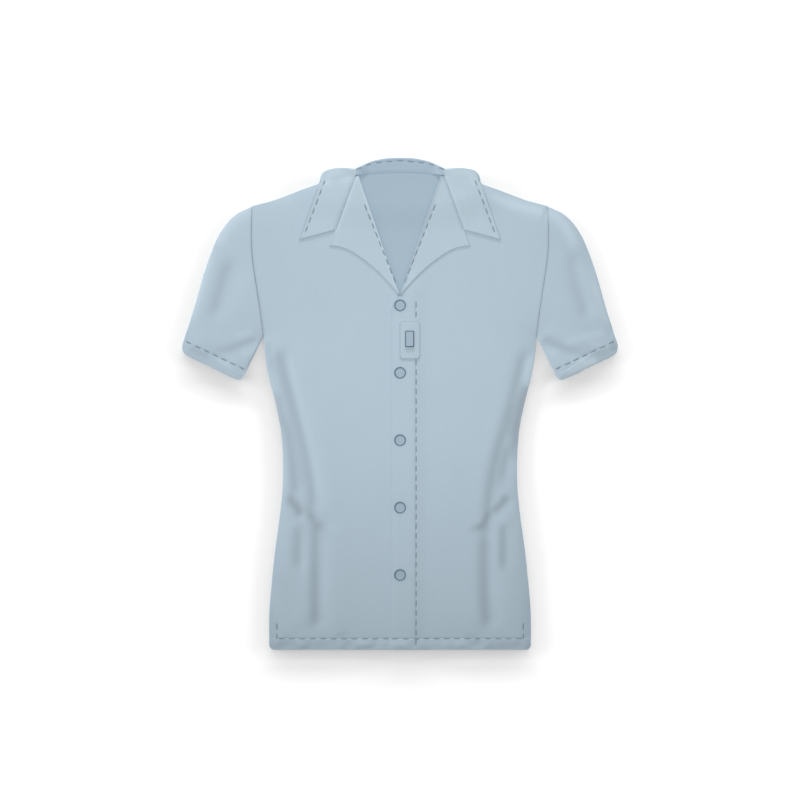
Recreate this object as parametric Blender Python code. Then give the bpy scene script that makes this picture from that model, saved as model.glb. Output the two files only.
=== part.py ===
"""Camp collar shirt with short sleeves, buttoned and laid flat on its back: one closed solid for each piece.

Metres. +Z is up from the surface that the shirt lies on, +Y runs from the hem to the collar, and +X is to
the right as the front is seen. The origin is on that surface, under the middle of the shirt's outline.
"height" in the tables below is the distance up from the hem, measured along Y on the cloth's outline.
"""

from collections import namedtuple

import bpy
import numpy as np

# ---------------------------------------------------------------- driving dimensions
LENGTH = 0.7376  # hem to the top of the collar's roll
CLOTH = 0.0012  # body cloth
LAPEL = 0.0015  # facing turned back over the front
COLLAR = 0.0020  # two layers of cloth with interlining
GAP = 0.0003  # between pieces, and between layers that touch

ARMPIT_HEIGHT = 0.470
SHOULDER_TIP_HEIGHT = 0.665
NECK_HEIGHT = 0.7109  # where the shoulder line meets the neck seam
NECK_HALF_WIDTH = 0.0675
NECK_SEAM_RISE = 0.0042  # the back neck seam is this much higher in the middle
FRONT_TOP_HEIGHT = 0.708

PUFF = 0.0034  # air between front and back, away from the outline
PUFF_REACH = 0.022  # how fast it builds up inwards from the outline

BREAK_HEIGHT = 0.5325  # where the lapels meet, and where their roll lines start
ROLL_TOP = (0.0613, 0.7102)  # upper end of the roll line: half width and height
OVERLAP = 0.0135  # each front's edge reaches this far past the middle
EDGE_CORNER = (0.508, 0.5295)  # heights between which the front's edge rounds in to the middle
ROLL_INSET = 0.0028  # the front stops this far short of the roll line, inside the lapel's fold
LAP_FADE = (0.014, 0.045)  # the upper front settles from the lower one's top between these widths
LAP_FADE_ABOVE = 0.042

FALL_MARGIN = 0.012  # the back lies level over the collar's fall and this far past it
FALL_FADE = 0.045

BUTTON_COUNT = 5
BUTTON_TOP_HEIGHT = 0.516
BUTTON_PITCH = 0.10084
BUTTON_RADIUS = 0.009

TAB_SIZE = (0.0308, 0.0570)
TAB_CENTRE = (0.01465, 0.4644)
TAB_CORNER = 0.0055
TAB_THICKNESS = 0.0015
STUD_SIZE = (0.0138, 0.0245)
STUD_CENTRE = (0.0144, 0.4658)
STUD_CORNER = 0.0016
STUD_THICKNESS = 0.0030

PALE_BLUE = (0.473, 0.591, 0.672)
SHADED_BLUE = (0.386, 0.497, 0.597)
BUTTON_BLUE = (0.366, 0.479, 0.558)
CLOTH_ROUGHNESS = 0.85
CLOTH_SHEEN = 0.3
PLASTIC_ROUGHNESS = 0.35
SHARP_ANGLE = 0.9  # radians between two faces, above which their edge looks crisp

# ---------------------------------------------------------------- tables
# Half of the body's outline: side seam up to the armpit, then the armhole seam up to the shoulder.
Width = namedtuple("Width", "height half_width")
SIDE = [
    Width(0.000, 0.1962),
    Width(0.060, 0.1956),
    Width(0.104, 0.1920),
    Width(0.149, 0.1872),
    Width(0.194, 0.1810),
    Width(0.239, 0.1762),
    Width(0.285, 0.1754),
    Width(0.329, 0.1786),
    Width(0.374, 0.1876),
    Width(0.410, 0.1966),
    Width(0.446, 0.2026),
    Width(ARMPIT_HEIGHT, 0.2046),
    Width(0.509, 0.2094),
    Width(0.549, 0.2154),
    Width(0.593, 0.2214),
    Width(0.629, 0.2225),
    Width(SHOULDER_TIP_HEIGHT, 0.2214),
]
HEM_CORNER = 0.008

# Points on the left half (mirrored for the right): distance out from the middle, and height.
Point = namedtuple("Point", "out height")
SHOULDER = [
    Point(0.2214, SHOULDER_TIP_HEIGHT),
    Point(0.1893, 0.6734),
    Point(0.1500, 0.6884),
    Point(0.1200, 0.6988),
    Point(NECK_HALF_WIDTH, NECK_HEIGHT),
]
SLEEVE_TOP = [
    Point(0.2217, 0.6646),
    Point(0.2475, 0.6513),
    Point(0.2696, 0.6250),
    Point(0.2897, 0.5769),
    Point(0.3098, 0.5087),
    Point(0.3268, 0.4563),
]
SLEEVE_CUFF = [
    Point(0.3268, 0.4563),
    Point(0.3249, 0.4464),
    Point(0.3190, 0.4409),
    Point(0.2860, 0.4248),
    Point(0.2516, 0.4082),
    Point(0.2394, 0.4052),
    Point(0.2325, 0.4142),
]
SLEEVE_UNDERARM = [Point(0.2050, 0.4700), Point(0.2180, 0.4432), Point(0.2325, 0.4142)]

GORGE_BOTTOM = Point(0.0960, 0.6292)
GORGE_TOP = Point(0.0672, 0.7083)
LEAF_TIP = Point(0.1515, 0.6144)
LEAF_CROSSING = Point(0.1210, 0.7018)  # the leaf's outer edge goes over the shoulder here
LEAF_BUMP = [
    LEAF_CROSSING,
    Point(0.1176, 0.7132),
    Point(0.1118, 0.7182),
    Point(0.0930, 0.7224),
    Point(0.0675, 0.7209),
]
ROLL_ARC = [
    Point(0.0675, 0.7209),
    Point(0.0423, 0.7323),
    Point(0.0195, 0.7368),
    Point(0.0000, LENGTH),
]
FALL_EDGE = [
    Point(0.1160, 0.6990),
    Point(0.0930, 0.6894),
    Point(0.0675, 0.6834),
    Point(0.0000, 0.6789),
]
LAPEL_LOWER_EDGE = [
    Point(0.0014, 0.5313),
    Point(0.0147, 0.5474),
    Point(0.0308, 0.5646),
    Point(0.0537, 0.5841),
    Point(0.0767, 0.5991),
    Point(0.0900, 0.6039),
    Point(0.1054, 0.6060),
]
LAPEL_NOTCH = [Point(0.1054, 0.6060), Point(0.0966, 0.6286)]

# The largest folds pressed into the upper layer. side is -1 for the left of the picture and 1 for the right.
# start, middle and end are (out, height) along the crease, and depth is negative for a trough.
Fold = namedtuple("Fold", "side start middle end width depth")
FOLDS = [
    # from the armpits to the waist
    Fold(-1, (0.1800, 0.446), (0.1520, 0.338), (0.1275, 0.205), 0.0090, -0.0022),
    Fold(-1, (0.1660, 0.440), (0.1380, 0.330), (0.1180, 0.235), 0.0090, 0.0010),
    Fold(-1, (0.1770, 0.356), (0.1640, 0.300), (0.1550, 0.230), 0.0085, -0.0012),
    Fold(1, (0.1880, 0.449), (0.1590, 0.353), (0.1345, 0.206), 0.0085, -0.0024),
    Fold(1, (0.1950, 0.390), (0.1770, 0.350), (0.1690, 0.306), 0.0070, -0.0014),
    # across the waist
    Fold(-1, (0.1640, 0.241), (0.1540, 0.216), (0.1450, 0.199), 0.0070, -0.0014),
    Fold(-1, (0.1440, 0.216), (0.1260, 0.193), (0.0980, 0.173), 0.0075, -0.0020),
    Fold(1, (0.1660, 0.252), (0.1580, 0.215), (0.1460, 0.190), 0.0070, -0.0014),
    Fold(1, (0.1385, 0.214), (0.1290, 0.190), (0.1080, 0.174), 0.0078, -0.0020),
    # down to the hem
    Fold(-1, (0.1530, 0.194), (0.1540, 0.150), (0.1530, 0.110), 0.0085, -0.0014),
    Fold(-1, (0.1270, 0.194), (0.1255, 0.112), (0.1240, 0.030), 0.0090, -0.0024),
    Fold(-1, (0.1110, 0.190), (0.1100, 0.130), (0.1110, 0.072), 0.0080, 0.0010),
    Fold(1, (0.1590, 0.188), (0.1600, 0.155), (0.1590, 0.120), 0.0085, -0.0014),
    Fold(1, (0.1315, 0.188), (0.1290, 0.104), (0.1330, 0.027), 0.0090, -0.0024),
    Fold(1, (0.1450, 0.190), (0.1445, 0.130), (0.1450, 0.072), 0.0080, 0.0010),
    # on the sleeves
    Fold(-1, (0.2485, 0.599), (0.2620, 0.545), (0.2740, 0.490), 0.0095, -0.0020),
    Fold(-1, (0.2110, 0.465), (0.2520, 0.448), (0.2955, 0.440), 0.0075, -0.0016),
    Fold(1, (0.2550, 0.600), (0.2700, 0.542), (0.2850, 0.492), 0.0095, -0.0020),
    Fold(1, (0.2110, 0.464), (0.2430, 0.449), (0.2870, 0.440), 0.0075, -0.0016),
]
FOLD_STEPS = 9

# Heights of the panels' rows, closer together at the hem's corners, at the break of the lapels and over the
# collar's fall.
HEM_ROWS = [0.0, 0.0012, 0.0040, 0.0082]
SIDE_ROWS = list(np.linspace(0.026, ARMPIT_HEIGHT, 22))
BREAK_ROWS = [0.489, 0.508, 0.518, 0.5245, 0.5285, 0.5295, 0.534, 0.545]
CHEST_ROWS = [0.565, 0.585, 0.605, 0.619, 0.632, 0.643, 0.654, SHOULDER_TIP_HEIGHT]
SHOULDER_ROWS = [0.6734, 0.6820, 0.6900, 0.6984]
ARMHOLE_ROWS = list(np.linspace(0.489, 0.605, 7))
BACK_ROWS = HEM_ROWS + list(np.linspace(0.045, ARMPIT_HEIGHT, 12)) + ARMHOLE_ROWS + CHEST_ROWS[3:]
FRONT_COLUMNS = [0, 0.07, 0.12, 0.17, 0.24, 0.33, 0.43, 0.52, 0.60, 0.67, 0.73, 0.79, 0.85, 0.91, 0.96, 1]
BACK_HALF_COLUMNS = np.array([0.20, 0.38, 0.50, 0.60, 0.70, 0.80, 0.90, 1.0])
BACK_COLUMNS = np.concatenate([-BACK_HALF_COLUMNS[::-1], [0.0], BACK_HALF_COLUMNS])


# ---------------------------------------------------------------- curves
def smooth(value):
    """0 to 1 with level ends."""
    value = np.clip(value, 0.0, 1.0)
    return value * value * (3.0 - 2.0 * value)


def hermite(knots, values, at):
    """A smooth curve through values at knots, read at other places."""
    slope = np.gradient(values, knots, axis=0)
    k = np.clip(np.searchsorted(knots, at, side="right") - 1, 0, len(knots) - 2)
    span = knots[k + 1] - knots[k]
    s = (at - knots[k]) / span
    if values.ndim == 2:
        s, span = s[:, None], span[:, None]
    start, end = values[k], values[k + 1]
    ease = s * s * (3.0 - 2.0 * s)
    lean_out = s * (1.0 - s) ** 2
    lean_in = s * s * (s - 1.0)
    return start + (end - start) * ease + span * (slope[k] * lean_out + slope[k + 1] * lean_in)


def along(path, fractions):
    """Points of a polyline at fractions of its length."""
    steps = np.linalg.norm(np.diff(path, axis=0), axis=1)
    run = np.concatenate([[0.0], np.cumsum(steps)])
    at = np.asarray(fractions) * run[-1]
    return np.stack([np.interp(at, run, path[:, 0]), np.interp(at, run, path[:, 1])], axis=1)


SAMPLES_PER_POINT = 60


def curve(points, fractions):
    """Points of a smooth curve through the given ones, at fractions of its length."""
    p = np.array(points, dtype=float)
    steps = np.sqrt(np.linalg.norm(np.diff(p, axis=0), axis=1))
    knots = np.concatenate([[0.0], np.cumsum(steps)])
    fine = hermite(knots, p, np.linspace(0.0, knots[-1], SAMPLES_PER_POINT * len(p)))
    return along(fine, fractions)


def distance_to(path, x, height):
    """Distance from each place to a polyline, and how far along it the nearest point is, from 0 to 1."""
    start, step = path[:-1], np.diff(path, axis=0)
    place = np.stack([np.ravel(x), np.ravel(height)], axis=1)
    away = place[:, None, :] - start[None]
    t = np.clip((away * step).sum(2) / (step * step).sum(1), 0.0, 1.0)
    gap = np.linalg.norm(away - t[..., None] * step[None], axis=2)
    k = gap.argmin(axis=1)
    each = np.arange(len(k))
    lengths = np.linalg.norm(step, axis=1)
    run = np.concatenate([[0.0], np.cumsum(lengths)])
    reached = (run[k] + t[each, k] * lengths[k]) / run[-1]
    shape = np.shape(x)
    return gap[each, k].reshape(shape), reached.reshape(shape)


# ---------------------------------------------------------------- the shirt's outline and layers
def side_half_width(height):
    """Half width of the body up to the shoulder tip, with the hem's corners rounded."""
    table = np.array(SIDE)
    width = hermite(table[:, 0], table[:, 1], np.asarray(height, dtype=float))
    short = np.clip(1.0 - height / HEM_CORNER, 0.0, 1.0)
    return width - HEM_CORNER * (1.0 - np.sqrt(1.0 - short**2))


def shoulder_half_width(height):
    """Half width of the shoulder line at a height above the shoulder tip."""
    line = np.array(SHOULDER)
    return np.interp(height, line[:, 1], line[:, 0])


def shoulder_height(out):
    """Height of the shoulder line at a distance from the middle."""
    line = np.array(SHOULDER)[::-1]
    return np.interp(np.abs(out), line[:, 0], line[:, 1])


def outer_edge(height):
    """Outer edge of the front and back at a height."""
    height = np.asarray(height, dtype=float)
    below = side_half_width(np.minimum(height, SHOULDER_TIP_HEIGHT))
    return np.where(height <= SHOULDER_TIP_HEIGHT, below, shoulder_half_width(height))


def inner_edge(height):
    """The front's own edge: past the middle below the break, and just inside the roll line above it."""
    low, high = EDGE_CORNER
    if height <= low:
        return -OVERLAP
    if height < high:
        return -OVERLAP * np.sqrt(1.0 - ((height - low) / (high - low)) ** 2)
    return ROLL_INSET + max(0.0, roll_line(height))


def roll_line(height):
    """Half width of the lapel's roll line at a height."""
    out, top = ROLL_TOP
    return out * (height - BREAK_HEIGHT) / (top - BREAK_HEIGHT)


def shirt_outline():
    """Right half of the outline of body and sleeve, from the middle of the hem to the neck point."""
    heights = np.concatenate([HEM_ROWS, np.linspace(0.02, ARMPIT_HEIGHT, 24)])
    side = np.stack([side_half_width(heights), heights], axis=1)
    steps = np.linspace(0, 1, 10)
    underarm = curve(SLEEVE_UNDERARM, steps)
    cuff = curve(SLEEVE_CUFF, steps)[::-1]
    top = curve(SLEEVE_TOP, steps)[::-1]
    outline = np.concatenate([[[0.0, 0.0]], side, underarm, cuff, top, np.array(SHOULDER)])
    apart = np.linalg.norm(np.diff(outline, axis=0), axis=1) > GAP
    return outline[np.concatenate([[True], apart])]


OUTLINE = shirt_outline()


def back_lift(x, height):
    """Underside of the back above the floor: it lies over the part of the collar that falls behind it."""
    x = np.abs(x)
    edge = np.array(FALL_EDGE)[::-1]
    edge_height = np.interp(x, edge[:, 0], edge[:, 1])
    below = np.maximum(0.0, edge_height - height)
    beside = np.maximum(0.0, x - edge[-1, 0])
    away = np.hypot(below, beside)
    return (COLLAR + GAP) * (1.0 - smooth((away - FALL_MARGIN) / FALL_FADE))


def fold_lift(x, height):
    """What the folds add to the upper layer, each a soft trough or ridge that dies out at both ends."""
    total = np.zeros(np.shape(x))
    for fold in FOLDS:
        path = curve([fold.start, fold.middle, fold.end], np.linspace(0, 1, FOLD_STEPS))
        away, reached = distance_to(path, fold.side * x, height)
        full_in_the_middle = np.sqrt(np.clip(4.0 * reached * (1.0 - reached), 0.0, 1.0))
        total += fold.depth * full_in_the_middle * np.exp(-((away / fold.width) ** 2))
    return total


def front_lift(x, height):
    """Underside of the upper layer, front or sleeve, above the floor."""
    away, _ = distance_to(OUTLINE, np.abs(x), height)
    inside = (np.abs(x) > SHOULDER[0].out) | (height < shoulder_height(x))
    puff = np.where(inside, PUFF * (1.0 - np.exp(-away / PUFF_REACH)), 0.0)
    air = np.maximum(0.0, puff + fold_lift(x, height) * np.where(inside, 1.0, 0.0))
    return back_lift(x, height) + CLOTH + GAP + air


def lap_lift(x, height):
    """What the front that laps over is raised by, where the other front lies under it."""
    start, end = LAP_FADE
    across = 1.0 - smooth((x - start) / (end - start))
    upward = 1.0 - smooth((height - BREAK_HEIGHT) / LAP_FADE_ABOVE)
    return (CLOTH + GAP) * across * upward


def front_top(side, x, height):
    """Upper surface of the front on one side: 1 is the one that laps over."""
    raised = lap_lift(x, height) if side > 0 else 0.0
    return front_lift(x, height) + CLOTH + raised


# ---------------------------------------------------------------- solids
def material(name, colour, roughness, sheen=0.0):
    """A plain surface finish."""
    finish = bpy.data.materials.new(name)
    finish.use_nodes = True
    shader = finish.node_tree.nodes["Principled BSDF"]
    shader.inputs["Base Color"].default_value = (*colour, 1.0)
    shader.inputs["Roughness"].default_value = roughness
    shader.inputs["Metallic"].default_value = 0.0
    shader.inputs["Sheen Weight"].default_value = sheen
    finish.diffuse_color = (*colour, 1.0)
    return finish


def place(x, height, z):
    """Points in the shirt's frame from widths, heights above the hem and heights off the floor."""
    x, height, z = np.broadcast_arrays(x, height, z)
    return np.stack([x, height - LENGTH / 2, z], axis=-1)


def closed_shell(name, outer, inner, quads, finish):
    """One closed body from an outer skin and an inner skin with the same faces, walled along open edges."""
    count = len(outer)
    open_edges = {}
    for quad in quads:
        for a, b in zip(quad, quad[1:] + quad[:1]):
            if (b, a) in open_edges:
                del open_edges[(b, a)]
            else:
                open_edges[(a, b)] = True
    faces = [tuple(quad) for quad in quads]
    faces += [tuple(count + v for v in reversed(quad)) for quad in quads]
    faces += [(b, a, count + a, count + b) for a, b in open_edges]
    mesh = bpy.data.meshes.new(name)
    mesh.from_pydata([tuple(v) for v in np.concatenate([outer, inner])], [], faces)
    mesh.validate()
    mesh.shade_smooth()
    mesh.set_sharp_from_angle(angle=SHARP_ANGLE)
    mesh.materials.append(finish)
    body = bpy.data.objects.new(name, mesh)
    bpy.context.scene.collection.objects.link(body)
    return body


def grid_quads(rows, columns, flip=False, wrapped=False):
    """Faces of a grid of points stored row by row."""
    quads = []
    for i in range(rows - 1):
        for j in range(columns if wrapped else columns - 1):
            k = (j + 1) % columns
            quad = (i * columns + j, i * columns + k, (i + 1) * columns + k, (i + 1) * columns + j)
            quads.append(quad[::-1] if flip else quad)
    return quads


def lying_sheet(name, x, height, bottom, thickness, finish, flip=False):
    """A sheet over a grid of places, with its underside at bottom."""
    top = place(x, height, bottom + thickness).reshape(-1, 3)
    under = place(x, height, bottom).reshape(-1, 3)
    return closed_shell(name, top, under, grid_quads(*x.shape, flip=flip), finish)


# ---------------------------------------------------------------- pieces
def make_back(finish):
    """The back: level on the floor, and raised where the collar falls behind it."""
    heights = np.array(BACK_ROWS + SHOULDER_ROWS + [NECK_HEIGHT - GAP])
    half = outer_edge(heights)
    x = half[:, None] * BACK_COLUMNS[None]
    height = np.repeat(heights[:, None], len(BACK_COLUMNS), axis=1)
    neck = height[-1]
    neck += NECK_SEAM_RISE * (1.0 - (x[-1] / NECK_HALF_WIDTH) ** 2)
    return lying_sheet("back", x, height, back_lift(x, height), CLOTH, finish)


def make_front(name, side, finish):
    """A front from its own edge out to the side seam, armhole and shoulder."""
    heights = HEM_ROWS + SIDE_ROWS + BREAK_ROWS + CHEST_ROWS + SHOULDER_ROWS + [FRONT_TOP_HEIGHT]
    outer = outer_edge(np.array(heights))
    inner = np.array([inner_edge(h) for h in heights])
    across = np.array(FRONT_COLUMNS)[None]
    out = inner[:, None] + across * (outer - inner)[:, None]
    x = side * out
    height = np.repeat(np.array(heights)[:, None], across.shape[1], axis=1)
    bottom = front_top(side, x, height) - CLOTH
    return lying_sheet(name, x, height, bottom, CLOTH, finish, flip=side < 0)


def patch(top, bottom, start, end, u, v):
    """A point sheet between four edges: start and end at u 0 and 1, top and bottom at v 0 and 1."""
    across = (1 - v)[None, :, None] * top[:, None] + v[None, :, None] * bottom[:, None]
    lengthwise = (1 - u)[:, None, None] * start[None] + u[:, None, None] * end[None]
    corners = (
        ((1 - u)[:, None] * (1 - v)[None])[..., None] * start[0]
        + ((1 - u)[:, None] * v[None])[..., None] * start[-1]
        + (u[:, None] * (1 - v)[None])[..., None] * end[0]
        + (u[:, None] * v[None])[..., None] * end[-1]
    )
    return across + lengthwise - corners


SLEEVE_RINGS = 11
SLEEVE_TOP_COLUMNS = 11
SLEEVE_UNDER_COLUMNS = 11
ARMHOLE_STEPS = 40
RING_STEPS = 101  # points of the line that a ring's own points are read from
BEND = np.sin(np.pi / 4)  # rise of the middle point of a quarter bend, as a share of its radius


def sleeve_places(u, v):
    """Places on the flat sleeve: u from armhole to cuff, v from its upper fold to its underarm."""
    armhole_heights = np.linspace(SHOULDER_TIP_HEIGHT, ARMPIT_HEIGHT, ARMHOLE_STEPS)
    armhole = np.stack([side_half_width(armhole_heights) + GAP, armhole_heights], axis=1)
    cuff = curve(SLEEVE_CUFF, v)
    return patch(curve(SLEEVE_TOP, u), curve(SLEEVE_UNDERARM, u), along(armhole, v), cuff, u, v)


def make_sleeve(name, side, finish):
    """A flattened tube of cloth, open at the armhole and the cuff."""
    radius = CLOTH + GAP / 2
    u = np.linspace(0, 1, SLEEVE_RINGS)
    rows_outer, rows_inner = [], []
    for line in sleeve_places(u, np.linspace(0, 1, RING_STEPS)):
        length = np.linalg.norm(np.diff(line, axis=0), axis=1).sum()
        outer, inner = [], []

        def add(distance, z, distance_inside, z_inside):
            for points, d, level in ((outer, distance, z), (inner, distance_inside, z_inside)):
                out, height = along(line, [np.clip(d / length, 0.0, 1.0)])[0]
                points.append((out, height, level))

        def bend(at_end, sign):
            d = radius * (1 - BEND)
            d_inside = CLOTH + (radius - CLOTH) * (1 - BEND)
            z, z_inside = radius + sign * radius * BEND, radius + sign * (radius - CLOTH) * BEND
            add(length - d if at_end else d, z, length - d_inside if at_end else d_inside, z_inside)

        def upper(distance):
            out, height = along(line, [distance / length])[0]
            level = float(front_lift(np.array([side * out]), np.array([height]))[0])
            add(distance, level + CLOTH, distance, level)

        add(0, radius, CLOTH, radius)
        bend(False, 1)
        for distance in np.linspace(radius, length - radius, SLEEVE_TOP_COLUMNS):
            upper(distance)
        bend(True, 1)
        add(length, radius, length - CLOTH, radius)
        bend(True, -1)
        for distance in np.linspace(length - radius, radius, SLEEVE_UNDER_COLUMNS):
            add(distance, 0.0, distance, CLOTH)
        bend(False, -1)
        rows_outer.append(outer)
        rows_inner.append(inner)
    outer, inner = np.array(rows_outer), np.array(rows_inner)
    quads = grid_quads(outer.shape[0], outer.shape[1], flip=side < 0, wrapped=True)
    skins = [place(side * s[..., 0], s[..., 1], s[..., 2]).reshape(-1, 3) for s in (outer, inner)]
    return closed_shell(name, skins[0], skins[1], quads, finish)


LAPEL_RIBS_LOWER = 9
LAPEL_RIBS_NOTCH = 3
LAPEL_RIBS_GORGE = 6
LAPEL_ROLL = np.array([0.0, 0.00045, 0.0015, 0.0023])  # distances in from the roll line
LAPEL_ROLL_SHARE = np.array([0.0, 0.10, 0.30, 0.45])  # and the most that they take of a short rib
LAPEL_NOSE = 0.2  # half thickness at the roll line itself, as a share of the half height of the roll
LAPEL_FLAT_COLUMNS = 5
# how far up the roll line three ribs start: at the start and end of the lower edge, and at the notch
ROLL_SHARES = (0.008, 0.44, 0.56)


def lapel_ribs():
    """Pairs of ends, on the roll line and on the lapel's outer edge, from the break to the neck."""
    lower = curve(LAPEL_LOWER_EDGE, np.linspace(0, 1, LAPEL_RIBS_LOWER))
    notch = along(np.array(LAPEL_NOTCH), np.linspace(0, 1, LAPEL_RIBS_NOTCH))[1:]
    seam = np.array([GORGE_BOTTOM, GORGE_TOP]) - np.array([GAP, 0.0])
    gorge = along(seam, np.linspace(0, 1, LAPEL_RIBS_GORGE))
    outer = np.concatenate([lower, notch, gorge])
    start, corner, notch_end = ROLL_SHARES
    share = np.concatenate(
        [
            np.linspace(start, corner, LAPEL_RIBS_LOWER),
            np.linspace(corner, notch_end, LAPEL_RIBS_NOTCH + 1)[1:],
            np.linspace(notch_end, 1.0, LAPEL_RIBS_GORGE)[1:],
        ]
    )
    heights = BREAK_HEIGHT + share * (ROLL_TOP[1] - BREAK_HEIGHT)
    roll = np.stack([roll_line(heights), heights], axis=1)
    return roll, outer


def make_lapel(name, side, finish):
    """The turned-back top of the front: it rolls over the front's edge and lies on the front."""
    roll, outer = lapel_ribs()
    rows_top, rows_under = [], []
    for start, end in zip(roll, outer):
        length = np.linalg.norm(end - start)
        near = np.minimum(LAPEL_ROLL, LAPEL_ROLL_SHARE * length)
        distances = np.concatenate([near, np.linspace(near[-1], length, LAPEL_FLAT_COLUMNS + 1)[1:]])
        spots = start + (end - start) * (distances / length)[:, None]
        x, height = side * spots[:, 0], spots[:, 1]
        on_front = front_top(side, x, height) + GAP
        inside_front = on_front - GAP - CLOTH
        middle = (inside_front[0] + on_front[0] + LAPEL) / 2
        half = (on_front[0] + LAPEL - inside_front[0]) / 2
        top = on_front + LAPEL
        under = on_front.copy()
        top[0], under[0] = middle + LAPEL_NOSE * half, middle - LAPEL_NOSE * half
        top[1], under[1] = middle + BEND * half, middle - BEND * half
        under[2] = inside_front[2]
        rows_top.append(place(x, height, top))
        rows_under.append(place(x, height, under))
    top, under = np.array(rows_top), np.array(rows_under)
    quads = grid_quads(*top.shape[:2], flip=side < 0)
    return closed_shell(name, top.reshape(-1, 3), under.reshape(-1, 3), quads, finish)


LEAF_RIBS = 8
BUMP_RIBS = 7
ARC_RIBS = 9
COLLAR_FRONT_COLUMNS = 6
COLLAR_FALL_COLUMNS = 4
LEAF_SEAM_SHARE = 0.97  # the leaf's ribs start on this much of the gorge seam
NECK_INSET = 0.0015  # the neck seam starts this far in from the neck point
STAND_START, STAND_FADE = 0.5, 3.0  # in ribs from the neck point: where the stand starts, and its rise
SETTLE_REACH = 3  # radii of the roll over which the collar comes down to what it lies on
SHORTEST_FALL = 4 * GAP  # past the roll


def collar_stations():
    """Ribs of the collar's right half: seam end, outer end, end of the fall or None, and share of stand."""
    leaf_share = np.linspace(0, 1, LEAF_RIBS)
    seam = along(np.array([GORGE_BOTTOM, GORGE_TOP]), leaf_share * LEAF_SEAM_SHARE)
    edge = along(np.array([LEAF_TIP, LEAF_CROSSING]), leaf_share)
    ribs = [(seam[i], edge[i], None, 0.0) for i in range(LEAF_RIBS - 1)]
    neck_x = np.linspace(NECK_HALF_WIDTH - NECK_INSET, 0.0, ARC_RIBS)
    corner = np.array([seam[-1], GORGE_TOP, [neck_x[0], NECK_HEIGHT]])
    bump_seam = along(corner, np.linspace(0, 1, BUMP_RIBS))
    bump = curve(LEAF_BUMP, np.linspace(0, 1, BUMP_RIBS))
    neck = np.stack([neck_x, NECK_HEIGHT + NECK_SEAM_RISE * (1 - (neck_x / NECK_HALF_WIDTH) ** 2)], axis=1)
    arc = curve(ROLL_ARC, np.linspace(0, 1, ARC_RIBS))
    fall = curve(FALL_EDGE, np.linspace(0, 1, BUMP_RIBS + ARC_RIBS - 1))
    for i in range(BUMP_RIBS):
        ribs.append((bump_seam[i], bump[i], fall[i], 0.0))
    for i in range(1, ARC_RIBS):
        stand = float(smooth((i - STAND_START) / STAND_FADE))
        ribs.append((neck[i], arc[i], fall[BUMP_RIBS - 1 + i], stand))
    return ribs


def collar_rib(side, rib):
    """Outer and inner skin points of one rib: seam to roll in front, then back under to the fall's edge."""
    seam, roll, fall, stand = rib
    length = np.linalg.norm(roll - seam)
    inward = (seam - roll) / length

    def base(spot):
        x, height = np.array([side * spot[0]]), np.array([spot[1]])
        on_front = front_top(side, x, height)[0] + GAP
        return (1 - stand) * on_front + stand * (COLLAR + GAP)

    height_at_roll = base(roll) + COLLAR
    radius = height_at_roll / 2
    reach = length - radius if fall is not None else length
    outer, inner = [], []
    for distance in np.linspace(0, reach, COLLAR_FRONT_COLUMNS):
        spot = seam - inward * distance
        settled = smooth((length - distance) / (SETTLE_REACH * radius)) if fall is not None else 1.0
        level = settled * base(spot) + (1 - settled) * (height_at_roll - COLLAR)
        outer.append((*spot, level + COLLAR))
        inner.append((*spot, level))
    if fall is None:
        return outer, inner
    behind = (fall - roll) / np.linalg.norm(fall - roll)
    between = (inward + behind) / np.linalg.norm(inward + behind)
    small = radius - COLLAR
    for direction, rise in ((inward, BEND), (between, 0.0), (behind, -BEND)):
        slide = 1 - np.sqrt(1 - rise**2)
        outer.append((*(roll + direction * radius * slide), radius + radius * rise))
        inner.append((*(roll + direction * (COLLAR + small * slide)), radius + small * rise))
    behind_length = max(np.linalg.norm(fall - roll), radius + SHORTEST_FALL)
    for distance in np.linspace(radius, behind_length, COLLAR_FALL_COLUMNS):
        spot = roll + behind * distance
        outer.append((*spot, 0.0))
        inner.append((*spot, COLLAR))
    return outer, inner


def make_collar(finish):
    """The collar in one piece: leaf, roll round the neck, leaf, and the fall that lies behind the back."""
    half = collar_stations()
    ribs = [collar_rib(-1, rib) for rib in half[:-1]]
    for row in ribs:
        for skin in row:
            skin[:] = [(-x, height, z) for x, height, z in skin]
    ribs += [collar_rib(1, rib) for rib in reversed(half)]
    outer, inner, starts = [], [], []
    for skin_outer, skin_inner in ribs:
        starts.append((len(outer), len(skin_outer)))
        outer += skin_outer
        inner += skin_inner
    quads = []
    for (start, count), (following, following_count) in zip(starts, starts[1:]):
        for j in range(min(count, following_count) - 1):
            quads.append((start + j, following + j, following + j + 1, start + j + 1))
    skins = [place(s[:, 0], s[:, 1], s[:, 2]) for s in (np.array(outer), np.array(inner))]
    return closed_shell("collar", skins[0], skins[1], quads, finish)


CORNER_STEPS = np.array([0.0, 0.13, 0.45, 1.0])  # rows within a rounded corner, as shares of its radius
TAB_COLUMNS = 7


def rounded_rows(size, corner):
    """Offsets along a rounded rectangle and its half width at each, for a grid with round corners."""
    width, height = size
    near = corner * CORNER_STEPS
    rows = np.concatenate([near, height - near[::-1]])
    short = np.clip(1 - np.minimum(rows, height - rows) / corner, 0.0, 1.0)
    return rows - height / 2, width / 2 - corner * (1 - np.sqrt(1 - short**2))


def make_tab(finish):
    """The short placket tab: a rounded strip of cloth that lies on the front."""
    rows, half = rounded_rows(TAB_SIZE, TAB_CORNER)
    across = np.linspace(-1, 1, TAB_COLUMNS)
    x = TAB_CENTRE[0] + half[:, None] * across[None]
    height = np.repeat((TAB_CENTRE[1] + rows)[:, None], len(across), axis=1)
    bottom = front_top(1, x, height) + GAP
    return lying_sheet("placket_tab", x, height, bottom, TAB_THICKNESS, finish)


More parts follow.
